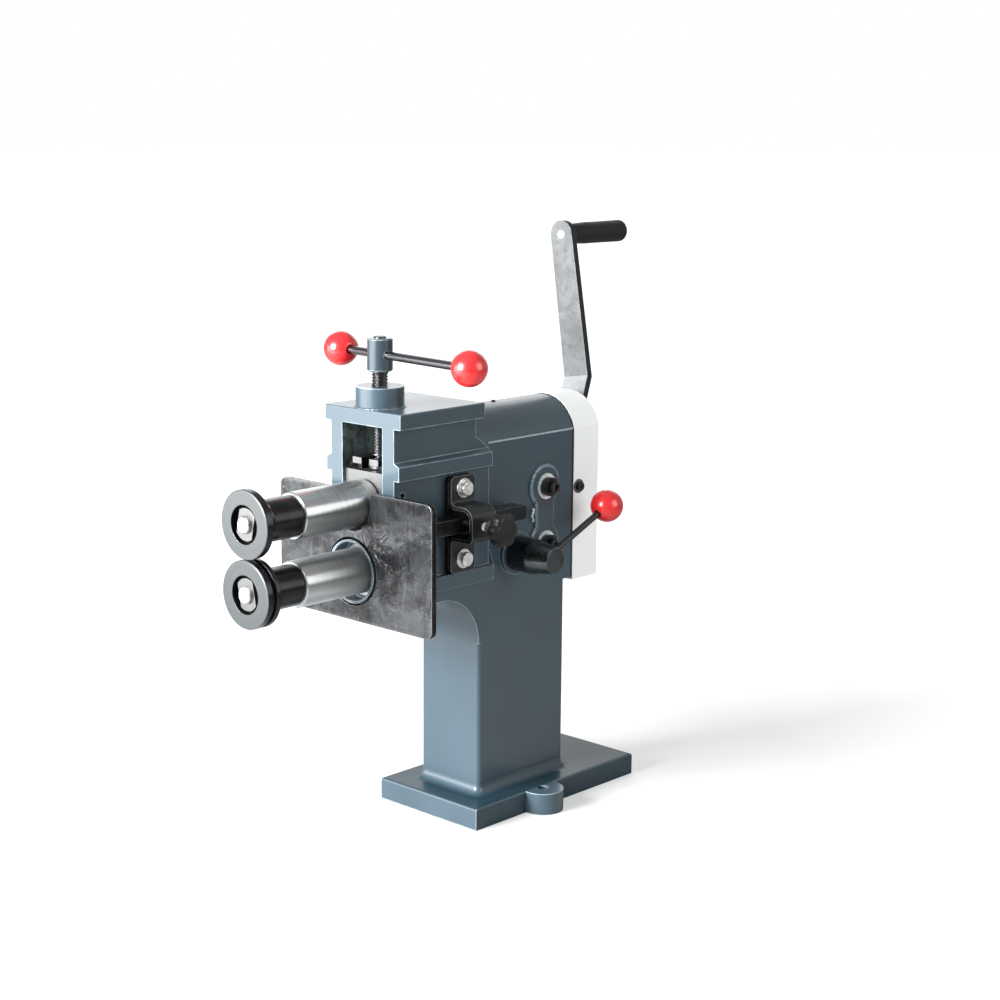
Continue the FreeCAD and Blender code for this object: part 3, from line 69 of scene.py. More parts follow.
class Tree:
    """A node tree, with short calls for nodes, links and sums."""

    def __init__(self, tree):
        self.tree = tree
        self.tree.nodes.clear()

    def add(self, kind, **settings):
        made = self.tree.nodes.new(kind)
        for key, item in settings.items():
            setattr(made, key, item)
        return made

    def join(self, item, socket):
        """Link an output to the input, or give the input a plain value."""
        if is_socket(item):
            self.tree.links.new(item, socket)
        else:
            socket.default_value = item

    def feed(self, node, **inputs):
        for key, item in inputs.items():
            self.join(item, node.inputs[key.replace("_", " ")])
        return node

    def math(self, operation, first, second=0.0):
        node = self.add("ShaderNodeMath", operation=operation)
        self.join(first, node.inputs[0])
        self.join(second, node.inputs[1])
        return node.outputs[0]

    def product(self, first, *others):
        for other in others:
            first = self.math("MULTIPLY", first, other)
        return first

    def distance(self, first, second):
        squares = [self.math("MULTIPLY", leg, leg) for leg in (first, second)]
        return self.math("SQRT", self.math("ADD", *squares))

    def mix_shaders(self, factor, first, second):
        node = self.feed(self.add("ShaderNodeMixShader"), Fac=factor)
        self.join(first, node.inputs[1])
        self.join(second, node.inputs[2])
        return node.outputs[0]

    def seen_directly(self):
        """Mask of rays from the camera, also through something clear."""
        rays = self.add("ShaderNodeLightPath").outputs
        return self.math("MAXIMUM", rays["Is Camera Ray"], rays["Is Transmission Ray"])


class Web(Tree):
    """A material's node tree, round one Principled shader."""

    def __init__(self, name):
        self.material = bpy.data.materials.new(name)
        self.material.use_nodes = True
        super().__init__(self.material.node_tree)
        self.out = self.add("ShaderNodeOutputMaterial")
        self.shader = self.add("ShaderNodeBsdfPrincipled")
        self.join(self.shader.outputs[0], self.out.inputs["Surface"])
        self.place = self.add("ShaderNodeTexCoord").outputs["Object"]

    def set(self, **inputs):
        """Feed the shader; returns the web, so that a finish can end with it."""
        self.feed(self.shader, **inputs)
        return self

    def source(self, name):
        """What already feeds one of the shader's inputs."""
        return self.shader.inputs[name].links[0].from_socket

    def noise(self, scale, detail=3.0, roughness=0.55, where=None, stretch=None, distortion=0.0):
        where = where or self.place
        if stretch:
            mapping = self.feed(self.add("ShaderNodeMapping"), Scale=stretch, Vector=where)
            where = mapping.outputs[0]
        node = self.feed(self.add("ShaderNodeTexNoise"), Scale=scale, Detail=detail, Roughness=roughness,
                         Distortion=distortion, Vector=where)
        return node.outputs["Fac"]

    def spread(self, source, low, high, to_low=0.0, to_high=1.0):
        """Map low..high to to_low..to_high, and hold it there outside."""
        node = self.feed(self.add("ShaderNodeMapRange"), Value=source, From_Min=low, From_Max=high,
                         To_Min=to_low, To_Max=to_high)
        return node.outputs["Result"]

    def blend(self, factor, first, second):
        node = self.feed(self.add("ShaderNodeMix", data_type="RGBA"), Factor=factor)
        for slot, item in ((COLOUR_A, first), (COLOUR_B, second)):
            self.join(item if is_socket(item) else (*item, 1.0), node.inputs[slot])
        return node.outputs[MIXED]

    def mottle(self, source, dark, pale):
        """Two colours by a noise that is cut to its middle."""
        return self.blend(self.spread(source, 0.35, 0.70), dark, pale)

    def soft_edges(self, radius):
        return self.feed(self.add("ShaderNodeBevel", samples=6), Radius=radius).outputs[0]

    def worn(self, radius, low=0.03, high=0.22):
        """Mask of edges and creases, where the rounded normal leaves the true one."""
        product = self.add("ShaderNodeVectorMath", operation="DOT_PRODUCT")
        self.join(self.soft_edges(radius), product.inputs[0])
        self.join(self.add("ShaderNodeNewGeometry").outputs["Normal"], product.inputs[1])
        return self.spread(self.math("SUBTRACT", 1.0, product.outputs["Value"]), low, high)

    def bump(self, height, strength, distance, normal=None):
        node = self.feed(self.add("ShaderNodeBump"), Height=height, Strength=strength, Distance=distance)
        if normal is not None:
            self.feed(node, Normal=normal)
        return node.outputs[0]

    def split(self, where=None):
        """X, Y and Z of a vector, by default of the place on the object."""
        node = self.feed(self.add("ShaderNodeSeparateXYZ"), Vector=where or self.place)
        return tuple(node.outputs)

    def facing(self):
        return self.split(self.add("ShaderNodeNewGeometry").outputs["True Normal"])

    def sawn_side(self):
        """Mask of a plate's thin sides, which don't face along Y."""
        return self.spread(self.math("ABSOLUTE", self.facing()[1]), 0.35, 0.20)


def tint(colour, amount):
    return tuple(min(1.0, channel * amount) for channel in colour)


def polar(web, axis, centre):
    """Radius from an axis, station along it, and the two legs of the radius."""
    parts = web.split()
    order = {"X": (1, 2, 0), "Y": (0, 2, 1), "Z": (0, 1, 2)}[axis]
    first = web.math("SUBTRACT", parts[order[0]], centre[0])
    second = web.math("SUBTRACT", parts[order[1]], centre[1])
    return web.distance(first, second), parts[order[2]], first, second


def turning_lines(web, axis, centre):
    """Noise that forms rings on turned faces and hoops on turned barrels, with its radius and station."""
    lines_per_metre, unevenness = 1500.0, 14.0
    radius, station, first, second = polar(web, axis, centre)
    joined = web.add("ShaderNodeCombineXYZ")
    web.join(web.math("MULTIPLY", radius, lines_per_metre), joined.inputs[0])
    web.join(web.math("MULTIPLY", station, lines_per_metre), joined.inputs[1])
    web.join(web.math("MULTIPLY", web.math("ADD", first, second), unevenness), joined.inputs[2])
    return web.noise(1.0, 4, 0.7, where=joined.outputs[0]), radius, station


# ------------------------------------------------------------------ paint
GREY_BLUE = (0.038, 0.062, 0.080)
CASTING_COAT = 0.18


def paint(name, colour, rough, coat, peel=0.22, edge=0.0012, wear=0.0):
    """Enamel with orange peel and slow colour drift; wear bares its edges, and their paler colour is partly
    painted highlight.
    """
    web = Web(name)
    base = web.blend(web.spread(web.noise(9, 2), 0.2, 0.8), tint(colour, 0.86), tint(colour, 1.15))
    if wear:
        station = web.split()[1]
        patchy = web.spread(web.noise(75, 3), 0.38, 0.62, 0.45, 1.0)
        less_behind_head = web.spread(station, -150.0 * MM, -20.0 * MM, 1.0, 0.6)
        least_at_rear = web.spread(station, 40.0 * MM, 44.0 * MM, 1.0, 0.1)
        # paler edges and creases: partly bared paint, partly painted highlight along them
        bared_and_highlit = web.product(web.worn(0.0017, 0.015, 0.09), patchy, less_behind_head, least_at_rear, wear)
        base = web.blend(bared_and_highlit, base, (0.48, 0.57, 0.61))
    peeled = web.bump(web.noise(34, 1), peel * 0.5, 0.0012, web.soft_edges(edge))
    return web.set(Base_Color=base, Metallic=0.0, Normal=peeled, Coat_Weight=coat, Coat_Roughness=0.06,
                   Roughness=web.spread(web.noise(8, 2), 0.2, 0.8, rough * 0.85, rough * 1.25))


def casting_paint():
    """The casting's enamel, rough as cast and painted lighter in the screw window, and with painted shade
    on the base.
    """
    web = paint("casting_enamel", GREY_BLUE, 0.30, CASTING_COAT, wear=1.0)
    across, along, height = web.split()
    across = web.math("ABSOLUTE", across)
    facing = web.facing()

    # painted shade: the base's top is darker and bluer where the column's shadow and dark reflections fall,
    # and its sides a little
    shade_gone_height, shade_full_height = 32.0 * MM, 22.0 * MM
    top_half, side_half = 65.5 * MM, 67.5 * MM
    near_base = web.spread(height, shade_gone_height, shade_full_height)
    upward = web.spread(facing[2], 0.6, 1.0)
    sideways = web.spread(web.math("ABSOLUTE", facing[0]), 0.8, 1.0)
    painted_base_shade = web.math("MAXIMUM", web.product(upward, near_base, web.math("LESS_THAN", across, top_half)),
                    web.product(sideways, near_base, web.math("LESS_THAN", across, side_half), 0.6))
    base = web.blend(painted_base_shade, web.source("Base Color"), (0.013, 0.031, 0.044))

    # the screw window's walls are rough, and their colour is painted lighter as painted light, since little
    # light reaches inside
    window_half, window_front, window_rear = 27.3 * MM, -206.4 * MM, -140.0 * MM
    window_low, window_high = 303.0 * MM, 404.2 * MM
    inside = web.product(
        web.math("LESS_THAN", across, window_half), web.math("GREATER_THAN", along, window_front),
        web.math("GREATER_THAN", height, window_low), web.math("LESS_THAN", height, window_high),
        web.math("LESS_THAN", along, window_rear))
    grain = web.noise(75, 5, 0.5)
    as_cast_painted_lighter = web.blend(web.spread(grain, 0.40, 0.60), (0.052, 0.066, 0.068), (0.190, 0.225, 0.225))
    return web.set(
        Base_Color=web.blend(inside, base, as_cast_painted_lighter),
        Specular_IOR_Level=web.math("SUBTRACT", 0.5, web.math("MULTIPLY", painted_base_shade, 0.36)),
        Coat_Weight=web.math("SUBTRACT", CASTING_COAT, web.math("MULTIPLY", painted_base_shade, 0.16)),
        Normal=web.bump(grain, web.math("MULTIPLY", inside, 0.9), 0.0080, web.source("Normal")))


# ------------------------------------------------------------------ metals
def turned_steel(name, axis, centre, colour, rough, lines, grain=0.0):
    """Ground or turned steel with hoops and slight handling marks; grain stretches its highlights."""
    web = Web(name)
    ring, _, _ = turning_lines(web, axis, centre)
    dark, pale = tint(colour, 1.0 - lines * 0.6), tint(colour, 1.0 + lines * 0.3)
    base = web.blend(web.spread(ring, 0.3, 0.7), dark, pale)
    smear = web.spread(web.noise(30, 3, 0.5), 0.50, 0.85, 0.0, 0.18)
    web.set(Base_Color=web.blend(smear, base, tint(colour, 0.70)), Metallic=1.0,
            Roughness=web.spread(ring, 0.25, 0.8, rough * 0.85, rough * 1.2),
            Normal=web.bump(ring, 0.05, 0.00002, web.soft_edges(0.0004)))
    if grain:
        round_it = web.add("ShaderNodeTangent", direction_type="RADIAL", axis=axis)
        web.set(Tangent=round_it.outputs[0], Anisotropic=grain, Anisotropic_Rotation=0.25)
    return web


def black_oxide(name, colour=(0.007, 0.008, 0.0085), rough=0.34, wear=0.15, gloss=0.3, bright_edge=0.0):
    """Oiled black oxide: dark, a little uneven, with pale rubbed spots."""
    web = Web(name)
    patch = web.noise(70, 4, 0.6)
    base = web.mottle(patch, colour, tint(colour, 2.1))
    rub = web.spread(web.noise(210, 3, 0.7), 0.66, 0.84, 0.0, wear)
    base = web.blend(rub, base, (0.20, 0.20, 0.21))
    # bright_edge pales the edges: partly worn bare, partly painted highlight
    if bright_edge:
        base = web.blend(web.math("MULTIPLY", web.worn(0.0009), bright_edge), base, (0.55, 0.56, 0.57))
    return web.set(Base_Color=base, Metallic=gloss,
                   Roughness=web.spread(patch, 0.3, 0.75, rough * 0.75, rough * 1.4),
                   Normal=web.bump(web.noise(500, 3), 0.12, 0.00008, web.soft_edges(0.0006)))


def roll_finish(name, shaft_height):
    """Black oxide roll whose front face is turned bright."""
    face_depth, recess_radius, rim_radius = 0.75 * MM, 17.9 * MM, 30.7 * MM
    web = Web(name)
    ring, radius, station = turning_lines(web, "Y", (0.0, shaft_height))
    front = web.math("LESS_THAN", station, ROLL_FRONT + face_depth)
    face = web.math("MULTIPLY", front, web.math("GREATER_THAN", radius, recess_radius))
    rim = web.math("MULTIPLY", web.math("GREATER_THAN", radius, rim_radius), front)
    black = web.mottle(web.noise(80, 4, 0.6), (0.006, 0.006, 0.007), (0.016, 0.017, 0.019))
    bright = web.blend(web.spread(ring, 0.3, 0.7), (0.085, 0.092, 0.094), (0.110, 0.117, 0.119))
    base = web.blend(face, black, bright)
    base = web.blend(rim, base, (0.20, 0.21, 0.22))
    base = web.blend(web.math("MULTIPLY", web.worn(0.0008, 0.05, 0.3), 0.5), base, (0.30, 0.31, 0.32))
    rough = web.math("ADD", web.spread(ring, 0.25, 0.8, 0.18, 0.30), web.math("MULTIPLY", face, 0.12))
    return web.set(Base_Color=base, Metallic=web.spread(face, 0.0, 1.0, 0.55, 1.0), Roughness=rough,
                   Normal=web.bump(ring, 0.10, 0.00005, web.soft_edges(0.0005)))


def mill_plate():
    """Hot-rolled plate: blue-black scale, pale scuffed clouds, scratches and bright edges."""
    middle_x, middle_z = 2.5 * MM, 281.75 * MM
    margin_x, margin_z = (99.5 * MM, 103.0 * MM), (58.8 * MM, 62.2 * MM)
    ripple_x, ripple_z, ripple_reach = 34.0 * MM, 272.0 * MM, (12.0 * MM, 50.0 * MM)
    web = Web("mill_scale_plate")
    across, _, height = web.split()
    cloud = web.noise(19, 5, 0.62, distortion=0.7)
    smoke = web.noise(44, 6, 0.68, distortion=0.4)
    streak = web.noise(1.0, 4, 0.6, stretch=(210.0, 10.0, 24.0))
    scuff = web.noise(190, 6, 0.78)
    mixed = web.math("ADD", web.math("MULTIPLY", cloud, 0.62), web.math("MULTIPLY", smoke, 0.38))
    base = web.blend(web.spread(mixed, 0.43, 0.57), (0.016, 0.0165, 0.018), (0.078, 0.081, 0.084))
    base = web.blend(web.spread(streak, 0.55, 0.75, 0.0, 0.5), base, (0.14, 0.14, 0.14))
    base = web.blend(web.spread(scuff, 0.59, 0.69, 0.0, 0.8), base, (0.30, 0.305, 0.31))

    # rubbed margins, black sides and bright edges
    off_x = web.math("ABSOLUTE", web.math("SUBTRACT", across, middle_x))
    off_z = web.math("ABSOLUTE", web.math("SUBTRACT", height, middle_z))
    margin = web.math("MAXIMUM", web.spread(off_x, *margin_x), web.spread(off_z, *margin_z))
    rubbed = web.product(margin, web.spread(smoke, 0.30, 0.55), 0.5)
    base = web.blend(rubbed, base, (0.14, 0.14, 0.14))
    base = web.blend(web.sawn_side(), base, (0.010, 0.010, 0.011))
    base = web.blend(web.math("MULTIPLY", web.worn(0.0010, 0.04, 0.25), 0.8), base, (0.46, 0.47, 0.48))

    # wavy where the plate was cut hot, round and between the two openings
    wavy = web.noise(62, 3, 0.6, distortion=0.8)
    from_cut = web.distance(web.math("SUBTRACT", across, ripple_x), web.math("SUBTRACT", height, ripple_z))
    ripple = web.math("MULTIPLY", wavy, web.spread(from_cut, *ripple_reach, 1.0, 0.08))
    normal = web.bump(cloud, 0.5, 0.0016, web.soft_edges(0.0007))
    normal = web.bump(ripple, 0.9, 0.0060, normal)
    normal = web.bump(scuff, 0.22, 0.00025, normal)
    return web.set(Base_Color=base, Metallic=web.spread(mixed, 0.40, 0.64, 0.55, 0.95),
                   Roughness=web.spread(smoke, 0.3, 0.7, 0.14, 0.36), Normal=normal)


def galvanised():
    """Pale zinc on the broad faces with pits and smudges, black on the sawn sides."""
    web = Web("galvanised_steel")
    pit = web.noise(150, 5, 0.75)
    smudge = web.noise(34, 5, 0.65, distortion=0.5)
    base = web.blend(web.spread(smudge, 0.35, 0.68), (0.058, 0.062, 0.064), (0.112, 0.117, 0.120))
    base = web.blend(web.spread(pit, 0.55, 0.70, 0.0, 0.6), base, (0.028, 0.028, 0.030))
    # faces that turn upward, as on the cranked part below the upper bend, are paler
    base = web.blend(web.spread(web.facing()[2], 0.15, 0.40, 0.0, 0.8), base, (0.30, 0.31, 0.32))
    base = web.blend(web.sawn_side(), base, (0.012, 0.012, 0.013))
    base = web.blend(web.math("MULTIPLY", web.worn(0.0012, 0.05, 0.3), 0.6), base, (0.35, 0.36, 0.37))
    normal = web.bump(pit, 0.5, 0.0003, web.soft_edges(0.0008))
    return web.set(Base_Color=base, Metallic=0.5, Roughness=web.spread(pit, 0.3, 0.7, 0.34, 0.62),
                   Normal=web.bump(smudge, 0.25, 0.0008, normal))


def zinc(name, colour, rough=0.33):
    """Zinc on screws and washers."""
    web = Web(name)
    grain = web.noise(300, 4, 0.65)
    return web.set(Base_Color=web.mottle(grain, tint(colour, 0.78), tint(colour, 1.12)), Metallic=0.9,
                   Roughness=web.spread(grain, 0.3, 0.7, rough * 0.8, rough * 1.3),
                   Normal=web.bump(grain, 0.12, 0.0001, web.soft_edges(0.0005)))


def bronze():
    """Turned bearing bronze."""
    web = Web("bearing_bronze_turned")
    ring, _, _ = turning_lines(web, "Y", (0.0, UPPER_Z))
    return web.set(Base_Color=web.blend(web.spread(ring, 0.3, 0.7), (0.42, 0.27, 0.11), (0.60, 0.42, 0.19)),
                   Metallic=1.0, Roughness=0.34,
                   Normal=web.bump(ring, 0.1, 0.00005, web.soft_edges(0.0003)))


def hub_finish():
    """Oiled black barrel whose taper is ground to a dark satin."""
    taper_start, taper_full = 68.2 * MM, 68.8 * MM
    web = Web("lever_hub_finish")
    patch = web.noise(70, 4, 0.6)
    taper = web.spread(web.split()[0], taper_start, taper_full)
    black = web.mottle(patch, (0.006, 0.007, 0.008), (0.014, 0.015, 0.017))
    satin = web.mottle(patch, (0.050, 0.060, 0.064), (0.090, 0.100, 0.104))
    base = web.blend(taper, black, satin)
    base = web.blend(web.math("MULTIPLY", web.worn(0.0010), 0.5), base, (0.30, 0.33, 0.34))
    return web.set(Base_Color=base, Metallic=web.spread(taper, 0.0, 1.0, 0.4, 0.9),
                   Roughness=web.spread(patch, 0.3, 0.75, 0.20, 0.32), Normal=web.soft_edges(0.0008))


def keeper_finish():
    """Dark keeper whose top bar is paler on the faces that look forward."""
    bar_bottom = 365.9 * MM
    web = Web("screw_keeper_finish")
    patch = web.noise(120, 4, 0.6)
    front = web.math("MULTIPLY", web.math("LESS_THAN", web.facing()[1], -0.6),
                     web.math("GREATER_THAN", web.split()[2], bar_bottom))
    dark = web.mottle(patch, (0.014, 0.015, 0.016), (0.030, 0.031, 0.032))
    # paler colour for the top bar's forward faces
    ground = web.mottle(patch, (0.13, 0.13, 0.13), (0.18, 0.18, 0.18))
    base = web.blend(front, dark, ground)
    base = web.blend(web.math("MULTIPLY", web.worn(0.0008), 0.5), base, (0.35, 0.35, 0.35))
    return web.set(Base_Color=base, Metallic=0.9, Roughness=web.spread(patch, 0.3, 0.75, 0.30, 0.46),
                   Normal=web.soft_edges(0.0006))


def collar_finish():
    """Bright screw with a blackened collar whose knurl crests are rubbed bare."""
    collar_start, crest_low, crest_high = 83.5 * MM, 6.35 * MM, 6.50 * MM
    web = Web("clamp_screw_finish")
    grain = web.noise(300, 4, 0.65)
    radius, station, _, _ = polar(web, "X", (CLAMP_Y, CLAMP_Z))
    black = web.math("GREATER_THAN", station, collar_start)
    crest = web.product(black, web.spread(radius, crest_low, crest_high), 0.85)
    bright = web.mottle(grain, (0.62, 0.62, 0.61), (0.88, 0.88, 0.86))
    base = web.blend(black, bright, (0.020, 0.020, 0.021))
    base = web.blend(crest, base, (0.42, 0.42, 0.41))
    return web.set(Base_Color=base, Metallic=0.9, Roughness=web.spread(grain, 0.3, 0.7, 0.26, 0.42),
                   Normal=web.soft_edges(0.0004))


# ------------------------------------------------------------------ plastics
def glossy_ball():
    """Red phenolic knob."""
    web = Web("red_phenolic")
    base = web.mottle(web.noise(60, 3), (0.560, 0.009, 0.012), (0.640, 0.016, 0.018))
    return web.set(Base_Color=base, Metallic=0.0, Coat_Weight=0.4, Coat_Roughness=0.16,
                   Roughness=web.spread(web.noise(120, 3), 0.3, 0.7, 0.26, 0.34),
                   Normal=web.bump(web.noise(260, 2), 0.05, 0.0001))


def moulded(name, colour, rough, shine):
    """Black moulded plastic with a fine spark texture."""
    web = Web(name)
    drift = web.noise(50, 3)
    return web.set(Base_Color=web.mottle(drift, colour, tint(colour, 1.9)), Metallic=0.0,
                   Specular_IOR_Level=shine,
                   Roughness=web.spread(drift, 0.3, 0.7, rough * 0.85, rough * 1.2),
                   Normal=web.bump(web.noise(900, 2), 0.25, 0.00008, web.soft_edges(0.0006)))


# ------------------------------------------------------------------ finishes of the CAD nodes
casting = casting_paint()
head_paint = paint("screw_head_enamel", tint(GREY_BLUE, 0.60), 0.26, 0.25, wear=0.8)
# lighter paint for the pad fillets: a painted highlight round their outline
fillet_highlight_paint = paint("fillet_painted_highlight", (0.115, 0.180, 0.220), 0.18, 0.6)
# pale paint for the housing crease beads: a painted highlight along the crease
crease_highlight_paint = paint("crease_painted_highlight", (0.34, 0.41, 0.44), 0.30, 0.3)
# near-white paint for the run on the pad: painted glints
drip_glint_paint = paint("drip_painted_glint", (0.62, 0.68, 0.72), 0.20, 0.6)
cover_white = paint("white_enamel", (0.97, 0.98, 0.98), 0.34, 0.3, peel=0.10, edge=0.0010)
panel_black = paint("black_enamel", (0.008, 0.008, 0.009), 0.35, 0.2, peel=0.12, edge=0.0004)
oxide = black_oxide("black_oxide")
oxide_edged = black_oxide("black_oxide_bare_and_highlit_edges", colour=(0.0035, 0.0045, 0.0045), rough=0.44,
                          gloss=0.15, bright_edge=0.9)
oxide_gloss = black_oxide("black_oxide_oiled", colour=(0.007, 0.008, 0.009), rough=0.22, wear=0.08,
                          gloss=0.4, bright_edge=0.35)
bar_steel = turned_steel("tommy_bar_steel", "X", (SCREW_Y, BAR_Z), (0.11, 0.11, 0.12), 0.26, 0.2)
thread_steel = turned_steel("thread_steel", "Z", (0.0, SCREW_Y), (0.100, 0.102, 0.104), 0.34, 0.08)
upper_bright = turned_steel("upper_turned_steel", "Y", (0.0, UPPER_Z), (0.47, 0.485, 0.485), 0.30, 0.4,
                            grain=0.8)
# the lower shaft's steel is paler than the upper's, as painted light where the upper sleeve shades it
lower_bright_painted_lighter = turned_steel("lower_turned_steel_painted_lighter", "Y", (0.0, LOWER_Z), (0.56, 0.575, 0.575), 0.37, 0.4,
                            grain=0.8)
block_satin = turned_steel("milled_satin_steel", "X", (0.0, 0.0), (0.150, 0.153, 0.151), 0.42, 0.12)
nut_steel = turned_steel("nut_steel", "Y", (0.0, UPPER_Z), (0.17, 0.17, 0.168), 0.36, 0.10)
zinc_plate = zinc("zinc_plate", (0.80, 0.80, 0.78))
zinc_dull = zinc("pale_zinc_washer", (0.80, 0.84, 0.86), rough=0.5)
washer_grey = zinc("grey_washer", (0.16, 0.165, 0.165), rough=0.5)
red = glossy_ball()
grip_black = moulded("grip_plastic", (0.008, 0.0085, 0.008), 0.55, 0.2)
knob_black = moulded("knob_plastic", (0.006, 0.006, 0.0065), 0.48, 0.25)
bearing = bronze()
collar_metal = collar_finish()

FINISHES = (
    (casting, "frame_casting"),
    (head_paint, "screw_head"),
    (cover_white, "gear_cover"),
    (panel_black, "back_panel"),
    (oxide, "lock_nuts oiler slide_grub_screw cover_screws clamp_spacer"),
    (oxide, "feed_screw upper_gear lower_gear lever_rod"),
    (oxide_gloss, "pivot_screws guide_screw fence_bar"),
    (oxide_edged, "clamp_strap"),
    (zinc_dull, "pivot_washers"),
    (washer_grey, "cover_washers"),
    (zinc_plate, "clamp_bolts clamp_washers upper_gear_nut lower_gear_retainer"),
    (zinc_plate, "crank_washer crank_nut grip_axle"),
    (block_satin, "slide_block upper_gear_key lower_gear_key"),
    (keeper_finish(), "screw_keeper"),
    (bar_steel, "tommy_bar"),
    (red, "tommy_balls lever_ball"),
    (bearing, "rear_bearing_block front_ball_bush quill_bushes"),
    (upper_bright, "upper_shaft upper_sleeve upper_collar"),
    (lower_bright_painted_lighter, "lower_shaft lower_sleeve lower_quill"),
    (nut_steel, "upper_roll_nut lower_roll_nut"),
    (roll_finish("upper_roll_finish", UPPER_Z), "upper_roll"),
    (roll_finish("lower_roll_finish", LOWER_Z), "lower_roll"),
    (galvanised(), "crank_arm"),
    (grip_black, "crank_grip"),
    (hub_finish(), "lever_hub"),
    (mill_plate(), "fence_plate"),
    (collar_metal, "clamp_screw"),
    (knob_black, "clamp_knob"),
)
finish_of = {name: finish for finish, names in FINISHES for name in names.split()}
for name, thing in nodes.items():
    thing.data.materials.clear()
    thing.data.materials.append(finish_of[name].material)
    for face in thing.data.polygons:
        face.material_index = 0


# ------------------------------------------------------------------ mesh kit
CRISP_ANGLE = math.radians(38)
SAME_SPOT = 1e-7
SAME_RADIUS = 1e-6
AXES = {  # two directions across the axis, then along it
    "X": (Vector((0, 1, 0)), Vector((0, 0, 1)), Vector((1, 0, 0))),
    "Y": (Vector((0, 0, 1)), Vector((1, 0, 0)), Vector((0, 1, 0))),
    "Z": (Vector((1, 0, 0)), Vector((0, 1, 0)), Vector((0, 0, 1))),
}


def keep(name, mesh, body, finish):
    """Finish a new mesh piece: material, smooth shading and body."""
    thing = bpy.data.objects.new(name, mesh)
    bpy.context.scene.collection.objects.link(thing)
    mesh.materials.append(finish.material)
    for face in mesh.polygons:
        face.use_smooth = True
    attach(thing, body)
    return thing


def build(name, verts, faces, crisp):
    """A mesh with its normals outward; crisp welds it and marks edges sharper than CRISP_ANGLE."""
    mesh = bpy.data.meshes.new(name)
    mesh.from_pydata([tuple(v) for v in verts], [], faces)
    work = bmesh.new()
    work.from_mesh(mesh)
    if crisp:
        bmesh.ops.remove_doubles(work, verts=work.verts, dist=SAME_SPOT)
    bmesh.ops.recalc_face_normals(work, faces=work.faces)
    if crisp:
        for edge in work.edges:
            edge.smooth = len(edge.link_faces) == 2 and edge.calc_face_angle(0.0) < CRISP_ANGLE
    work.to_mesh(mesh)
    work.free()
    return mesh


def turned_mesh(name, profile, origin, axes, segments=72, shape=None):
    """Sweep (station, radius) points round an axis; shape(station, angle, radius) can vary the radius."""
    first, second, along = axes
    origin = Vector(origin)
    verts, faces = [], []
    for station, radius in profile:
        for step in range(segments):
            angle = 2 * math.pi * step / segments
            size = shape(station, angle, radius) if shape else radius
            verts.append(origin + along * station + first * (size * math.cos(angle))
                         + second * (size * math.sin(angle)))
    for row in range(len(profile) - 1):
        here, there = row * segments, (row + 1) * segments
        for step in range(segments):
            after = (step + 1) % segments
            faces.append((here + step, here + after, there + after, there + step))
    for row, flip in ((0, True), (len(profile) - 1, False)):
        if profile[row][1] > SAME_RADIUS:
            loop = [row * segments + step for step in range(segments)]
            faces.append(tuple(reversed(loop)) if flip else tuple(loop))
    return build(name, verts, faces, crisp=True)


def threaded(start, end, radius, pitch, depth):
    """Stations for a threaded stretch, and the shape that cuts the thread into it."""
    rows_per_turn, plain_share = 8, 0.4
    count = int((end - start) / pitch * rows_per_turn)
    stations = [(start + (end - start) * i / count, radius) for i in range(count + 1)]
    first, last = start + pitch * plain_share, end - pitch * plain_share

    def shape(station, angle, size):
        if not first < station < last or abs(size - radius) > SAME_RADIUS:
            return size
        phase = (station / pitch - angle / (2 * math.pi)) % 1.0
        return size - depth * (1.0 - abs(2.0 * phase - 1.0))

    return stations, shape


def in_mm(pairs):
    """Pairs of millimetres, in metres."""
    return [(first * MM, second * MM) for first, second in pairs]


# ------------------------------------------------------------------ feed screw with a real helix
thread, thread_shape = threaded(start=373.0 * MM, end=452.4 * MM, radius=8.0 * MM, pitch=3.0 * MM,
                                depth=1.6 * MM)
foot = in_mm([(360.2, 10.6), (361.0, 11.4), (364.8, 11.4), (365.4, 10.8)])
neck = in_mm([(365.4, 4.8), (372.6, 4.8), (372.6, 7.0)])
spigot = in_mm([(452.4, 6.0), (484.0, 6.0), (485.0, 5.2)])
feed_mesh = turned_mesh("feed_screw_thread", foot + neck + thread + spigot, (0, SCREW_Y, 0), AXES["Z"], 64,
                        thread_shape)
feed = keep("feed_screw_thread", feed_mesh, "feed_screw", thread_steel)
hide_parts("feed_screw")

# ------------------------------------------------------------------ balls, turned from fine profiles
BALL_RADIUS, BALL_FLAT, BALL_ROWS = 16.5 * MM, 0.8 * MM, 44
BAR_TURN, LEVER_RISE = math.radians(6.7), math.radians(23.3)
LEFT_BALL, RIGHT_BALL = 61.5 * MM, 130.5 * MM      # centres, from the screw's axis along the bar
LEVER_ROD_X, LEVER_LENGTH = 81.5 * MM, 100.2 * MM


def ball_profile():
    """From the flat at the rod's side round to the far pole."""
    start = math.acos((BALL_RADIUS - BALL_FLAT) / BALL_RADIUS)
    angles = [start + (math.pi - start) * i / BALL_ROWS for i in range(BALL_ROWS)]
    return [(-BALL_RADIUS * math.cos(a), BALL_RADIUS * math.sin(a)) for a in angles] + [(BALL_RADIUS, 0.0)]


def ball_on(name, centre, outward, body, mouth=4.0 * MM):
    """A ball knob with a countersunk mouth where its rod goes in."""
    outward = Vector(outward).normalized()
    side = outward.orthogonal().normalized()
    other = outward.cross(side)
    points = ball_profile()
    flat, rim = points[0]
    countersink = [(flat + 1.2 * MM, mouth), (flat + 0.1 * MM, mouth + 1.0 * MM), (flat, mouth + 1.4 * MM),
                   (flat, rim - 0.4 * MM)]
    mesh = turned_mesh(name, countersink + points, centre, (side, other, outward))
    return keep(name, mesh, body, red)


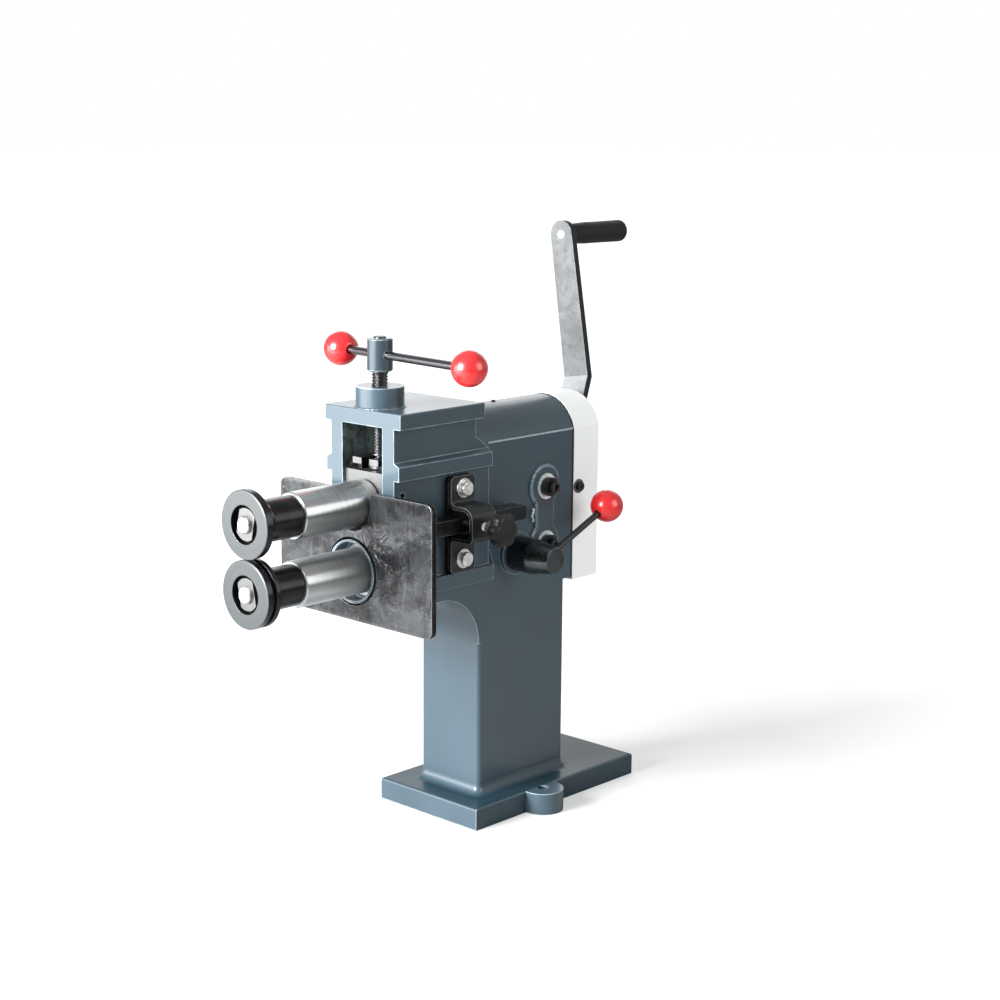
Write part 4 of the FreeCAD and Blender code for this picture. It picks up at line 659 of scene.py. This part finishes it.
bar_way = Vector((math.cos(BAR_TURN), -math.sin(BAR_TURN), 0.0))
bar_mid = Vector((0.0, SCREW_Y, BAR_Z))
left_ball = ball_on("tommy_ball_left", bar_mid - bar_way * LEFT_BALL, -bar_way, "tommy_bar")
right_ball = ball_on("tommy_ball_right", bar_mid + bar_way * RIGHT_BALL, bar_way, "tommy_bar")
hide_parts("tommy_balls")
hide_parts("tommy_balls")
lever_way = Vector((0.0, math.cos(LEVER_RISE), math.sin(LEVER_RISE)))
lever_foot = Vector((LEVER_ROD_X, LEVER_Y, LEVER_Z))
lever_ball = ball_on("shift_lever_ball", lever_foot + lever_way * LEVER_LENGTH, lever_way, "align_lever",
                     mouth=3.2 * MM)
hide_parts("lever_ball")

# ------------------------------------------------------------------ crank grip, swelling away from the arm
GRIP_START, GRIP_LENGTH, GRIP_STRAIGHT = 121.2 * MM, 90.0 * MM, 0.955
SWELL_ROWS, END_ROWS = 60, 10
END_DEPTH, END_ROUND = 4.05 * MM, 5.0 * MM

grip_profile = [(GRIP_START, 5.0 * MM), (GRIP_START, 9.0 * MM)]
# the radius, in millimetres, grows from 9.6 to 11.5 over the first third, less a slight waist
for i in range(SWELL_ROWS + 1):
    t = i / SWELL_ROWS
    swell = 9.6 + 1.9 * min(1.0, t / 0.35) ** 0.7 - 0.25 * math.sin(math.pi * t) ** 2
    grip_profile.append((GRIP_START + GRIP_LENGTH * t * GRIP_STRAIGHT, swell * MM))
end_station, end_radius = grip_profile[-1]
for i in range(1, END_ROWS + 1):
    a = math.pi / 2 * i / END_ROWS
    grip_profile.append((end_station + END_DEPTH * math.sin(a), end_radius - END_ROUND * (1 - math.cos(a))))
grip_mesh = turned_mesh("crank_grip_moulding", grip_profile, (GRIP_X, 0, GRIP_Z), AXES["Y"], 64)
grip = keep("crank_grip_moulding", grip_mesh, "crank_grip", grip_black)
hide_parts("crank_grip")

# ------------------------------------------------------------------ clamp screw and its knob
COLLAR_START, KNURL_START, KNURL_END = 83.6 * MM, 84.4 * MM, 94.4 * MM
KNURL_RADIUS, KNURL_DEPTH, KNURL_TEETH, KNURL_ROWS = 6.6 * MM, 0.55 * MM, 20, 20
LOBES, LOBE_DEPTH, KNOB_CORE = 6, 0.15, 10.0 * MM

rod_rows, rod_shape = threaded(start=64.9 * MM, end=COLLAR_START, radius=4.0 * MM, pitch=1.25 * MM,
                               depth=0.6 * MM)
knurl_step = (KNURL_END - KNURL_START) / KNURL_ROWS
knurl_rows = [(KNURL_START + knurl_step * i, KNURL_RADIUS) for i in range(KNURL_ROWS + 1)]
collar_rows = [(COLLAR_START, 5.6 * MM)] + knurl_rows + in_mm([(95.0, 6.0), (95.0, 4.0), (105.9, 4.0)])


def clamp_shape(station, angle, size):
    if station < COLLAR_START:
        return rod_shape(station, angle, size)
    if abs(size - KNURL_RADIUS) < SAME_RADIUS:
        return size - KNURL_DEPTH * (0.5 + 0.5 * math.cos(angle * KNURL_TEETH))
    return size


def lobed(_, angle, radius):
    if radius <= KNOB_CORE:
        return radius
    return radius * (1.0 - LOBE_DEPTH * (0.5 - 0.5 * math.cos(angle * LOBES)) ** 1.6)


screw_mesh = turned_mesh("clamp_screw_detail", rod_rows + collar_rows, (0, CLAMP_Y, CLAMP_Z), AXES["X"], 96,
                         clamp_shape)
screw = keep("clamp_screw_detail", screw_mesh, "clamp_knob", collar_metal)
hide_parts("clamp_screw")
knob_rows = in_mm([(95.0, 6.0), (95.2, 12.4), (95.8, 14.5), (96.8, 15.7), (98.4, 16.4), (102.0, 16.6),
                   (105.5, 16.4), (107.1, 15.5), (108.0, 14.0), (108.5, 10.2), (108.6, 5.2), (108.9, 3.8),
                   (109.0, 0.0)])
knob_mesh = turned_mesh("clamp_knob_moulding", knob_rows, (0, CLAMP_Y, CLAMP_Z), AXES["X"], 120, lobed)
knob = keep("clamp_knob_moulding", knob_mesh, "clamp_knob", knob_black)
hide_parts("clamp_knob")

# ------------------------------------------------------------------ painted fillets and runs of paint, some pale as painted highlights and glints
BEAD_SPACING, BEAD_SIDES = 0.9 * MM, 8


def bead(name, points, size, lumps, finish=casting, closed=False):
    """A painted bead along a line on the casting, slightly uneven."""
    line = []
    total = len(points)
    for i in range(total if closed else total - 1):
        start, end = Vector(points[i]), Vector(points[(i + 1) % total])
        steps = max(1, int((end - start).length / BEAD_SPACING))
        line += [start.lerp(end, step / steps) for step in range(steps)]
    if not closed:
        line.append(Vector(points[-1]))
    verts, faces = [], []
    count = len(line)
    noise = random.Random(len(name) * 31 + count)
    lump = [noise.random() for _ in range(count)]
    for i, spot in enumerate(line):
        before = line[i - 1 if (i or closed) else 0]
        after = line[(i + 1) % count if (i < count - 1 or closed) else i]
        way = (after - before).normalized()
        side = way.orthogonal().normalized()
        up = way.cross(side)
        smooth = (lump[i - 1] + lump[i] * 2 + lump[(i + 1) % count]) / 4
        radius = size * (1 + lumps * (smooth - 0.5) + lumps * 0.5 * math.sin(i * 1.7))
        for k in range(BEAD_SIDES):
            a = 2 * math.pi * k / BEAD_SIDES
            verts.append(spot + side * (radius * math.cos(a)) + up * (radius * math.sin(a)))
    for i in range(count if closed else count - 1):
        here, there = i * BEAD_SIDES, (i + 1) % count * BEAD_SIDES
        for k in range(BEAD_SIDES):
            n = (k + 1) % BEAD_SIDES
            faces.append((here + k, here + n, there + n, there + k))
    return keep(name, build(name, verts, faces, crisp=False), "frame", finish)


def arc(centre, radius, start, end, steps):
    """Two coordinates of points on an arc, in degrees."""
    angles = [math.radians(start + (end - start) * i / steps) for i in range(steps + 1)]
    return [(centre[0] + radius * math.cos(a), centre[1] + radius * math.sin(a)) for a in angles]


BOSS_RADIUS, PAD_RADIUS = 22.9 * MM, 20.2 * MM
PAD_FOOT_X, LEVER_BOSS_FOOT_X = 40.4 * MM, 40.2 * MM
CREASE_ENDS = (-78.0 * MM, 47.0 * MM)
DRIP_X, DRIP_Y, DRIP_TOP = 42.6 * MM, -15.0 * MM, 303.0 * MM
SIDES = ((1, "right"), (-1, "left"))

boss_ring = [(x, y, BOSS_FOOT_Z) for x, y in arc((0.0, SCREW_Y), BOSS_RADIUS, start=0, end=348, steps=58)]
bead("screw_boss_fillet", boss_ring, size=1.5 * MM, lumps=0.25, closed=True)
for side, name in SIDES:
    # pale crease beads: a painted highlight along the crease
    crease = [(side * CREASE_X, y, CREASE_Z) for y in CREASE_ENDS]
    bead(f"housing_crease_{name}", crease, size=1.0 * MM, lumps=0.25, finish=crease_highlight_paint)
pads = arc((PIVOT_Y, PIVOT_Z), PAD_RADIUS, start=20, end=233, steps=34)
pads += arc((PIVOT_Y, GUIDE_Z), PAD_RADIUS, start=127, end=250, steps=22)
for side, name in SIDES:
    # the fillet bead is painted lighter as a painted highlight
    outline = [(side * PAD_FOOT_X, y, z) for y, z in pads]
    bead(f"pad_fillet_{name}", outline, size=2.6 * MM, lumps=0.12, finish=fillet_highlight_paint)
# a run of paint whose near-white colour is a painted glint
drip = [(DRIP_X, DRIP_Y + 1.2 * MM * math.sin(i * 1.3), DRIP_TOP - 2.0 * MM * i) for i in range(8)]
bead("pad_drip", drip, size=1.0 * MM, lumps=0.8, finish=drip_glint_paint)
boss_edge = in_mm([(-76.2, 271.7), (-74.4, 266.6), (-72.6, 261.6), (-70.4, 255.0), (-68.2, 248.8)])
bead("lever_boss_bead", [(LEVER_BOSS_FOOT_X, y, z) for y, z in boss_edge], size=1.5 * MM, lumps=0.5)

# ------------------------------------------------------------------ studio
WHITE = (1.0, 1.0, 1.0)
LIGHTS = (  # name, place, target, width, height, watts, colour
    ("key_front", (-0.35, -2.05, 0.90), (0.0, -0.15, 0.30), 0.9, 0.9, 185.0, (0.98, 0.99, 1.0)),
    ("low_panel_left_front", (-0.95, -1.30, 0.40), (0.0, -0.2, 0.35), 1.0, 0.7, 13.0, WHITE),
    ("top_soft", (0.1, -0.2, 1.9), (0.0, -0.1, 0.3), 1.6, 1.6, 2.0, WHITE),
    ("back_panel", (-1.55, 1.75, 1.30), (0.0, 0.0, 0.45), 2.6, 1.3, 19.0, WHITE),
    ("fill_right", (1.25, 0.30, 0.75), (0.0, 0.0, 0.3), 0.8, 0.8, 9.0, (0.97, 1.0, 0.98)),
)
for name, place, target, width, height, watts, colour in LIGHTS:
    data = bpy.data.lights.new(name, "AREA")
    data.energy = watts
    data.color = colour
    data.shape = "RECTANGLE"
    data.size, data.size_y = width, height
    lamp = bpy.data.objects.new(name, data)
    bpy.context.scene.collection.objects.link(lamp)
    lamp.location = place
    lamp.rotation_euler = (Vector(target) - Vector(place)).to_track_quat("-Z", "Y").to_euler()

# white to the camera, dim and slightly cool to the object, and in between in its reflections
SOFT_STRENGTH, REFLECTED_SHARE = 0.28, 0.35
world = bpy.data.worlds.new("studio_world")
bpy.context.scene.world = world
world.use_nodes = True
sky = Tree(world.node_tree)
soft = sky.feed(sky.add("ShaderNodeBackground"), Color=(0.97, 0.98, 1.0, 1.0), Strength=SOFT_STRENGTH)
bright = sky.feed(sky.add("ShaderNodeBackground"), Color=(*WHITE, 1.0), Strength=1.0)
glossy = sky.add("ShaderNodeLightPath").outputs["Is Glossy Ray"]
whiteness = sky.math("MAXIMUM", sky.seen_directly(), sky.math("MULTIPLY", glossy, REFLECTED_SHARE))
backdrop = sky.mix_shaders(whiteness, soft.outputs[0], bright.outputs[0])
sky.join(backdrop, sky.add("ShaderNodeOutputWorld").inputs["Surface"])

# paper floor that keeps the shadow near the object and glows to white further out
REACH = 30.0
GLOW_FROM, GLOW_TO, GLOW_NEAR = 0.35, 1.3, 0.42
floor_mesh = bpy.data.meshes.new("studio_floor")
floor_mesh.from_pydata([(-REACH, -REACH, 0), (REACH, -REACH, 0), (REACH, REACH, 0), (-REACH, REACH, 0)], [],
                       [(0, 1, 2, 3)])
floor = bpy.data.objects.new("studio_floor", floor_mesh)
bpy.context.scene.collection.objects.link(floor)
paper = Web("studio_floor_paper")
paper.set(Base_Color=(0.40, 0.40, 0.40, 1.0), Roughness=0.7, Metallic=0.0)
across, along, _ = paper.split()
strength = paper.spread(paper.distance(across, along), GLOW_FROM, GLOW_TO, GLOW_NEAR, 1.0)
glow = paper.feed(paper.add("ShaderNodeEmission"), Color=(*WHITE, 1.0), Strength=strength)
adder = paper.add("ShaderNodeAddShader")
paper.join(paper.shader.outputs[0], adder.inputs[0])
paper.join(glow.outputs[0], adder.inputs[1])
seen = paper.mix_shaders(paper.seen_directly(), paper.shader.outputs[0], adder.outputs[0])
paper.join(seen, paper.out.inputs["Surface"])
floor_mesh.materials.append(paper.material)

# ------------------------------------------------------------------ camera, fitted to the photograph
AZIMUTH, ELEVATION, ROLL = math.radians(44.36), math.radians(11.08), math.radians(0.14)
CAMERA_PLACE = (1.30316, -1.43059, 0.69032)
back = Vector((math.sin(AZIMUTH) * math.cos(ELEVATION), -math.cos(AZIMUTH) * math.cos(ELEVATION),
               math.sin(ELEVATION)))
right = Vector((math.cos(AZIMUTH), math.sin(AZIMUTH), 0.0))
up = back.cross(right)
camera_right = right * math.cos(ROLL) + up * math.sin(ROLL)
camera_up = up * math.cos(ROLL) - right * math.sin(ROLL)
lens = bpy.data.cameras.new("photo_camera")
lens.sensor_width = 36.0
lens.lens = 70.02
lens.shift_x = 0.05623
lens.shift_y = -0.008
lens.clip_end = 120.0
camera = bpy.data.objects.new("photo_camera", lens)
bpy.context.scene.collection.objects.link(camera)
turn_to = Matrix((camera_right, camera_up, back)).transposed()
camera.matrix_world = Matrix.Translation(CAMERA_PLACE) @ turn_to.to_4x4()
bpy.context.scene.camera = camera
bpy.context.scene.view_settings.view_transform = "Standard"
